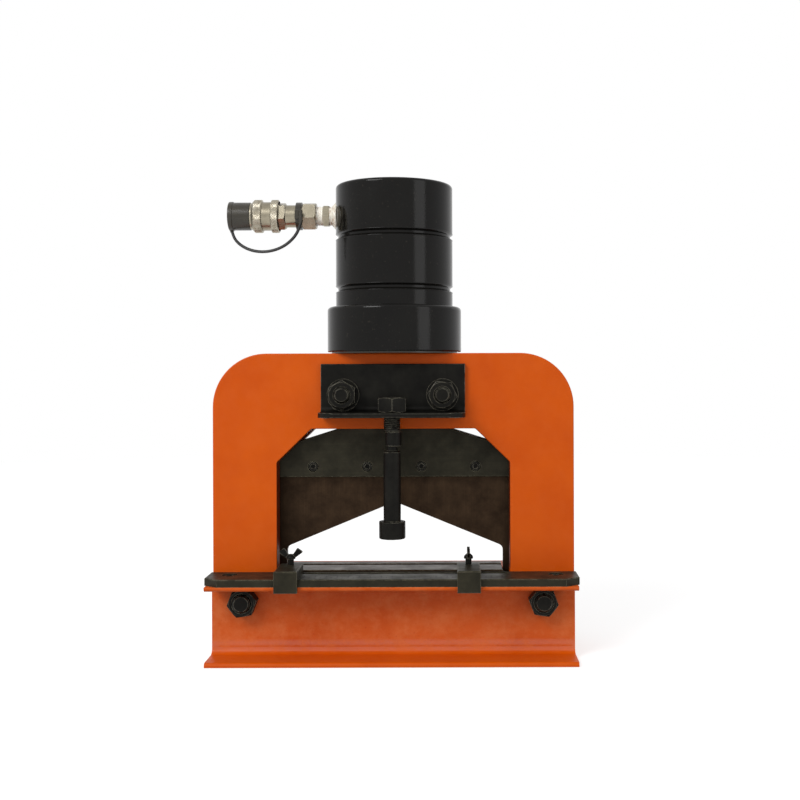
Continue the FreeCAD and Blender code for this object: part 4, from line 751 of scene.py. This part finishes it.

# %% [markdown]
# ## Orange enamel and black enamel
# The frame and the channels are in an orange machine enamel, with a satin skin that has caught
# dust, flame-cut edges made lighter for wear and as a painted highlight, and painted shade on
# the faces beside the blade. The cylinder's enamel is black and glossy, so it lives from what it
# reflects.

# %% Paints
tree, shader, place = new_finish("orange_paint", 0.0, 0.42, 0.13)
coat = effect(tree, skin, place)
edge_wear_and_glint = effect(tree, edges, place)
at = add(tree, "SeparateXYZ")
tree.links.new(place, at.inputs[0])
height = at.outputs["Z"]

# the base's web, above its flange, has caught more dust than the frame
low_down = in_band(tree, height, rise=(0.005, 0.012), fall=(0.078, 0.066))
clean = mixed(tree, coat["Shade"], colour(185, 71, 0), colour(194, 79, 1))
dulled = mixed(tree, coat["Shade"], colour(180, 72, 18), colour(193, 86, 32))
tone = mixed(tree, low_down, clean, dulled)
dust = product(tree, weighed(tree, coat["Dust"], 0, 0.4), weighed(tree, low_down, 0.12, 1))
tone = mixed(tree, dust, tone, colour(206, 118, 70))
specks = product(tree, weighed(tree, coat["Specks"], 0, 0.7), weighed(tree, low_down, 0.15, 1))
tone = mixed(tree, specks, tone, colour(160, 44, 14))
# edges lighter: wear, and a painted highlight along the edges
tone = mixed(tree, weighed(tree, edge_wear_and_glint["Mask"], 0, 0.5), tone, colour(236, 126, 58))

# painted shade, dark brown, on the throat's inner faces: they look sideways, near the middle,
# above the base
faces = add(tree, "SeparateXYZ")
tree.links.new(add(tree, "NewGeometry").outputs["Normal"], faces.inputs[0])
sideways = add(tree, "Math", operation="ABSOLUTE")
tree.links.new(faces.outputs["X"], sideways.inputs[0])
from_middle = add(tree, "Math", operation="ABSOLUTE")
tree.links.new(at.outputs["X"], from_middle.inputs[0])
in_throat = product(tree, mapped(tree, from_middle.outputs[0], 0.135, 0.128),
                    mapped(tree, height, 0.080, 0.084))
painted_throat_shade = product(tree, mapped(tree, sideways.outputs[0], 0.45, 0.7), in_throat)
tone = mixed(tree, weighed(tree, painted_throat_shade, 0, 0.9), tone, colour(76, 20, 6))
tree.links.new(tone, shader.inputs["Base Color"])

# the enamel gathered thick and glossy in the base's inner corner
in_corner = in_band(tree, height, rise=(0.0055, 0.007), fall=(0.018, 0.015))
glossy_low = product(tree, in_corner, mapped(tree, coat["Dust"], 0.2, 0.7, 1, 0.3))
tree.links.new(weighed(tree, coat["Dust"], 0.36, 0.5), shader.inputs["Roughness"])
tree.links.new(weighed(tree, glossy_low, 0, 0.9), shader.inputs["Coat Weight"])
shader.inputs["Coat Roughness"].default_value = 0.09
tree.links.new(coat["Normal"], shader.inputs["Normal"])

tree, shader, place = new_finish("black_paint", 0.0, 0.12, 0.15)
coat = effect(tree, skin, place)
tone = mixed(tree, coat["Shade"], colour(12, 11, 10), colour(17, 16, 14))
tone = mixed(tree, weighed(tree, coat["Specks"], 0, 0.3), tone, colour(70, 64, 56))
tree.links.new(tone, shader.inputs["Base Color"])
tree.links.new(weighed(tree, coat["Dust"], 0.09, 0.15), shader.inputs["Roughness"])
tree.links.new(coat["Normal"], shader.inputs["Normal"])
print("paints", list(finishes))

# %% [markdown]
# ## Steels
# All steel pieces are made alike: a dark and a light tone mixed by the bloom, fine lines by
# the tool, and a brighter tone on the edges, for wear and as a painted highlight. What differs
# is how metallic and how rough they are, and which way the tool went. One function builds
# them, so that they look like one family.

# %% Steels and other metals
def steel(name, dark, light, edge, metallic, rough, along="X", line_share=0.5, edge_share=0.6,
          specular=0.5, calm=0.0):
    """A metal finish from shared effects. calm takes away from the bumps, up to 1."""
    dark, light, edge = colour(*dark), colour(*light), colour(*edge)
    smooth_spots, rough_spots = rough
    tree, shader, place = new_finish(name, metallic, rough_spots, specular)
    cloud = effect(tree, bloom, place)
    lines = effect(tree, marks, turned_place(tree, place, along))
    edge_wear_and_glint = effect(tree, edges, place)
    tone = mixed(tree, cloud["Cloud"], dark, light)
    tone = mixed(tree, weighed(tree, lines["Lines"], 0, line_share), tone, dark)
    # edges lighter: wear, and a painted highlight
    tone = mixed(tree, weighed(tree, edge_wear_and_glint["Mask"], 0, edge_share), tone, edge)
    tree.links.new(tone, shader.inputs["Base Color"])
    gloss = weighed(tree, cloud["Cloud"], rough_spots, smooth_spots)
    tree.links.new(gloss, shader.inputs["Roughness"])
    face = add(tree, "NewGeometry").outputs["Normal"]
    normal = cloud["Normal"]
    for share, other in ((line_share, lines["Normal"]), (calm, face)):
        between = add(tree, "Mix", data_type="VECTOR")
        between.inputs["Factor"].default_value = share
        tree.links.new(normal, between.inputs[4])
        tree.links.new(other, between.inputs[5])
        normal = between.outputs[1]
    tree.links.new(normal, shader.inputs["Normal"])


steel("black_oxide", (15, 14, 12), (28, 27, 23), (150, 145, 128), metallic=0.3,
      rough=(0.3, 0.46), along="Z", line_share=0.3, edge_share=0.55, specular=0.1)
steel("dark_plate", (35, 33, 25), (51, 48, 37), (136, 130, 110), metallic=0.25,
      rough=(0.38, 0.54), line_share=0.45, edge_share=0.45, specular=0.1)
steel("blade_steel", (42, 30, 20), (61, 46, 32), (140, 132, 118), metallic=0.6,
      rough=(0.32, 0.48), along="Z", specular=0.1)
steel("ground_steel", (84, 80, 71), (122, 118, 107), (180, 176, 166), metallic=0.9,
      rough=(0.28, 0.42), line_share=0.6, edge_share=0.4, specular=0.4)
steel("chrome_rod", (168, 168, 166), (196, 196, 194), (214, 214, 212), metallic=1.0,
      rough=(0.08, 0.16), along="Z", line_share=0.2, edge_share=0.2)
steel("zinc", (138, 131, 114), (168, 160, 141), (214, 209, 196), metallic=1.0,
      rough=(0.24, 0.32), line_share=0.3, edge_share=0.4, calm=0.85)
steel("spring_steel", (84, 82, 78), (120, 117, 111), (160, 157, 150), metallic=0.9,
      rough=(0.28, 0.42), along="Z", line_share=0.3, edge_share=0.3)
steel("bronze", (146, 96, 44), (178, 124, 62), (206, 156, 92), metallic=1.0,
      rough=(0.24, 0.38), line_share=0.4, edge_share=0.4)
print("metals", len(finishes) - 2)

# %% [markdown]
# ## Plastics, rubber, tape and cord
# The dust plug is a soft grey-black plastic with a faint mould grain. The seals are rubber. The
# tape is thin white plastic that lets some light in, which keeps its creases soft. The
# cord's pattern runs along its own UV map.

# %% Plastics
def plastic(name, dark, light, rough, grain_scale=1.0):
    """A moulded plastic or rubber finish: its tree, its shader, its place and its tone."""
    smooth_spots, rough_spots = rough
    tree, shader, place = new_finish(name, 0.0, rough_spots)
    cloud = effect(tree, bloom, stretched(tree, place, (grain_scale,) * 3))
    tone = mixed(tree, cloud["Cloud"], colour(*dark), colour(*light))
    tree.links.new(tone, shader.inputs["Base Color"])
    gloss = weighed(tree, cloud["Cloud"], rough_spots, smooth_spots)
    tree.links.new(gloss, shader.inputs["Roughness"])
    tree.links.new(cloud["Normal"], shader.inputs["Normal"])
    return tree, shader, place, tone


plastic("grey_plastic", (20, 18, 14), (30, 27, 22), rough=(0.55, 0.7))
plastic("black_rubber", (32, 28, 18), (45, 40, 27), rough=(0.25, 0.34))

# the tape has brown stains and lets some light in
tree, shader, place, clean = plastic("white_tape", (214, 206, 188), (238, 235, 226),
                                     rough=(0.4, 0.55), grain_scale=1.6)
stain = noise(tree, stretched(tree, place, (2, 1, 1)), 210, 4, 0.6)
tone = mixed(tree, mapped(tree, stain, 0.52, 0.68, 0, 0.75), clean, colour(158, 118, 84))
tree.links.new(tone, shader.inputs["Base Color"])
shader.inputs["Subsurface Weight"].default_value = 0.15
shader.inputs["Subsurface Radius"].default_value = (1 * MM, 1 * MM, 1 * MM)

# the cord's noise is drawn out across its own UV map
tree, shader, place = new_finish("cord_black", 0.0, 0.45)
own = add(tree, "UVMap").outputs["UV"]
wave = noise(tree, stretched(tree, own, (90, 6, 1)), 4, 3)
tone = mixed(tree, mapped(tree, wave, 0.35, 0.65), colour(10, 10, 10), colour(24, 23, 22))
tree.links.new(tone, shader.inputs["Base Color"])
tree.links.new(bumped(tree, wave, 0.2, 0.1 * MM), shader.inputs["Normal"])
print("finishes", len(finishes), "cord has UV maps:", [u.name for u in lanyard.data.uv_layers])

# %% [markdown]
# ## Handing out the finishes
# The record names a finish for each solid, and each new piece was given one when it was made.
# Reading both from there keeps the picture and the record in step.

# %% Assign every finish
finish_of = {part["node"]: part["material_slot"] for part in frame["record"]["subparts"]}
for node_name, node in frame["nodes"].items():
    material = finishes[finish_of[node_name]]
    if not node.data.materials:
        node.data.materials.append(material)
    for place_in_list in node.material_slots:
        place_in_list.material = material
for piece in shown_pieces():
    if piece.get("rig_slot"):
        piece.data.materials.clear()
        piece.data.materials.append(finishes[piece["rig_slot"]])
print("solids with a finish", len(finish_of))

# %% [markdown]
# ## Floor and studio light
# The machine stands on a plain pale floor. The floor glows a little, but only where it is
# seen by the camera or in metal and glass, so it comes out white, throws no light up at the
# machine and still carries its soft shadow. Light comes from a big soft box high on the left,
# a weaker one on the right and a plain grey room. Metal and enamel mirror the same white
# background that the camera sees.

# %% Floor
FLOOR_RADIUS = 2.6
FLOOR_GREY, FLOOR_GLOW = 0.5, 0.62


def background_share(tree, rays):
    """1 for rays that show the background: the camera's, and those in metal and glass."""
    share = rays.outputs["Is Camera Ray"]
    for kind in ("Is Glossy Ray", "Is Transmission Ray"):
        either = add(tree, "Math", operation="MAXIMUM")
        tree.links.new(share, either.inputs[0])
        tree.links.new(rays.outputs[kind], either.inputs[1])
        share = either.outputs[0]
    return share


bpy.ops.object.select_all(action="DESELECT")
bpy.ops.mesh.primitive_circle_add(vertices=96, radius=FLOOR_RADIUS, fill_type="NGON",
                                  location=(0, 0, -0.4 * MM))
floor = bpy.context.view_layer.objects.active
floor.name = "studio_floor"
floor_finish = bpy.data.materials.new("studio_floor")
floor_finish.use_nodes = True
floor_tree = floor_finish.node_tree
floor_tree.nodes.clear()
floor_end = add(floor_tree, "OutputMaterial")
both = add(floor_tree, "AddShader")
matt = add(floor_tree, "BsdfDiffuse")
matt.inputs["Color"].default_value = (FLOOR_GREY, FLOOR_GREY, FLOOR_GREY, 1)
glow = add(floor_tree, "Emission")
shown = background_share(floor_tree, add(floor_tree, "LightPath"))
floor_tree.links.new(weighed(floor_tree, shown, 0, FLOOR_GLOW), glow.inputs["Strength"])
floor_tree.links.new(matt.outputs[0], both.inputs[0])
floor_tree.links.new(glow.outputs[0], both.inputs[1])
floor_tree.links.new(both.outputs[0], floor_end.inputs["Surface"])
floor.data.materials.append(floor_finish)
print("floor radius in m", FLOOR_RADIUS)

# %% Room and lamps
WHITE = (1, 1, 1, 1)
LIT_FROM_FRONT, LIT_FROM_ABOVE, LIT_ELSEWHERE = 0.94, 0.79, 0.34
world = bpy.data.worlds.new("studio")
bpy.context.scene.world = world
world.use_nodes = True
room = world.node_tree
room.nodes.clear()
room_end = add(room, "OutputWorld")
rays = add(room, "LightPath")
towards = add(room, "SeparateXYZ")
room.links.new(add(room, "TexCoord").outputs["Generated"], towards.inputs[0])
from_front = mapped(room, towards.outputs["Y"], -0.8, 0.0, LIT_FROM_FRONT, LIT_ELSEWHERE)
from_above = mapped(room, towards.outputs["Z"], 0.2, 0.8, LIT_ELSEWHERE, LIT_FROM_ABOVE)
soft = add(room, "Math", operation="MAXIMUM")
room.links.new(from_front, soft.inputs[0])
room.links.new(from_above, soft.inputs[1])
seen_as = mixed(room, background_share(room, rays), soft.outputs[0], WHITE)
light = add(room, "Background")
room.links.new(seen_as, light.inputs["Color"])
room.links.new(light.outputs[0], room_end.inputs["Surface"])


LAMPS_AIM = Vector((0, 0, 0.2))


def soft_box(name, place, width, height, watts):
    """A rectangular lamp that looks at the machine's middle."""
    data = bpy.data.lights.new(name, "AREA")
    data.shape, data.size, data.size_y, data.energy = "RECTANGLE", width, height, watts
    lamp = bpy.data.objects.new(name, data)
    lamp.location = place
    lamp.rotation_euler = (LAMPS_AIM - Vector(place)).to_track_quat("-Z", "Y").to_euler()
    bpy.context.collection.objects.link(lamp)


soft_box("key_box", (-1.2, -1.5, 1.5), width=1.0, height=1.0, watts=32)
soft_box("fill_box", (1.6, -1.2, 0.8), width=0.8, height=1.2, watts=5.5)
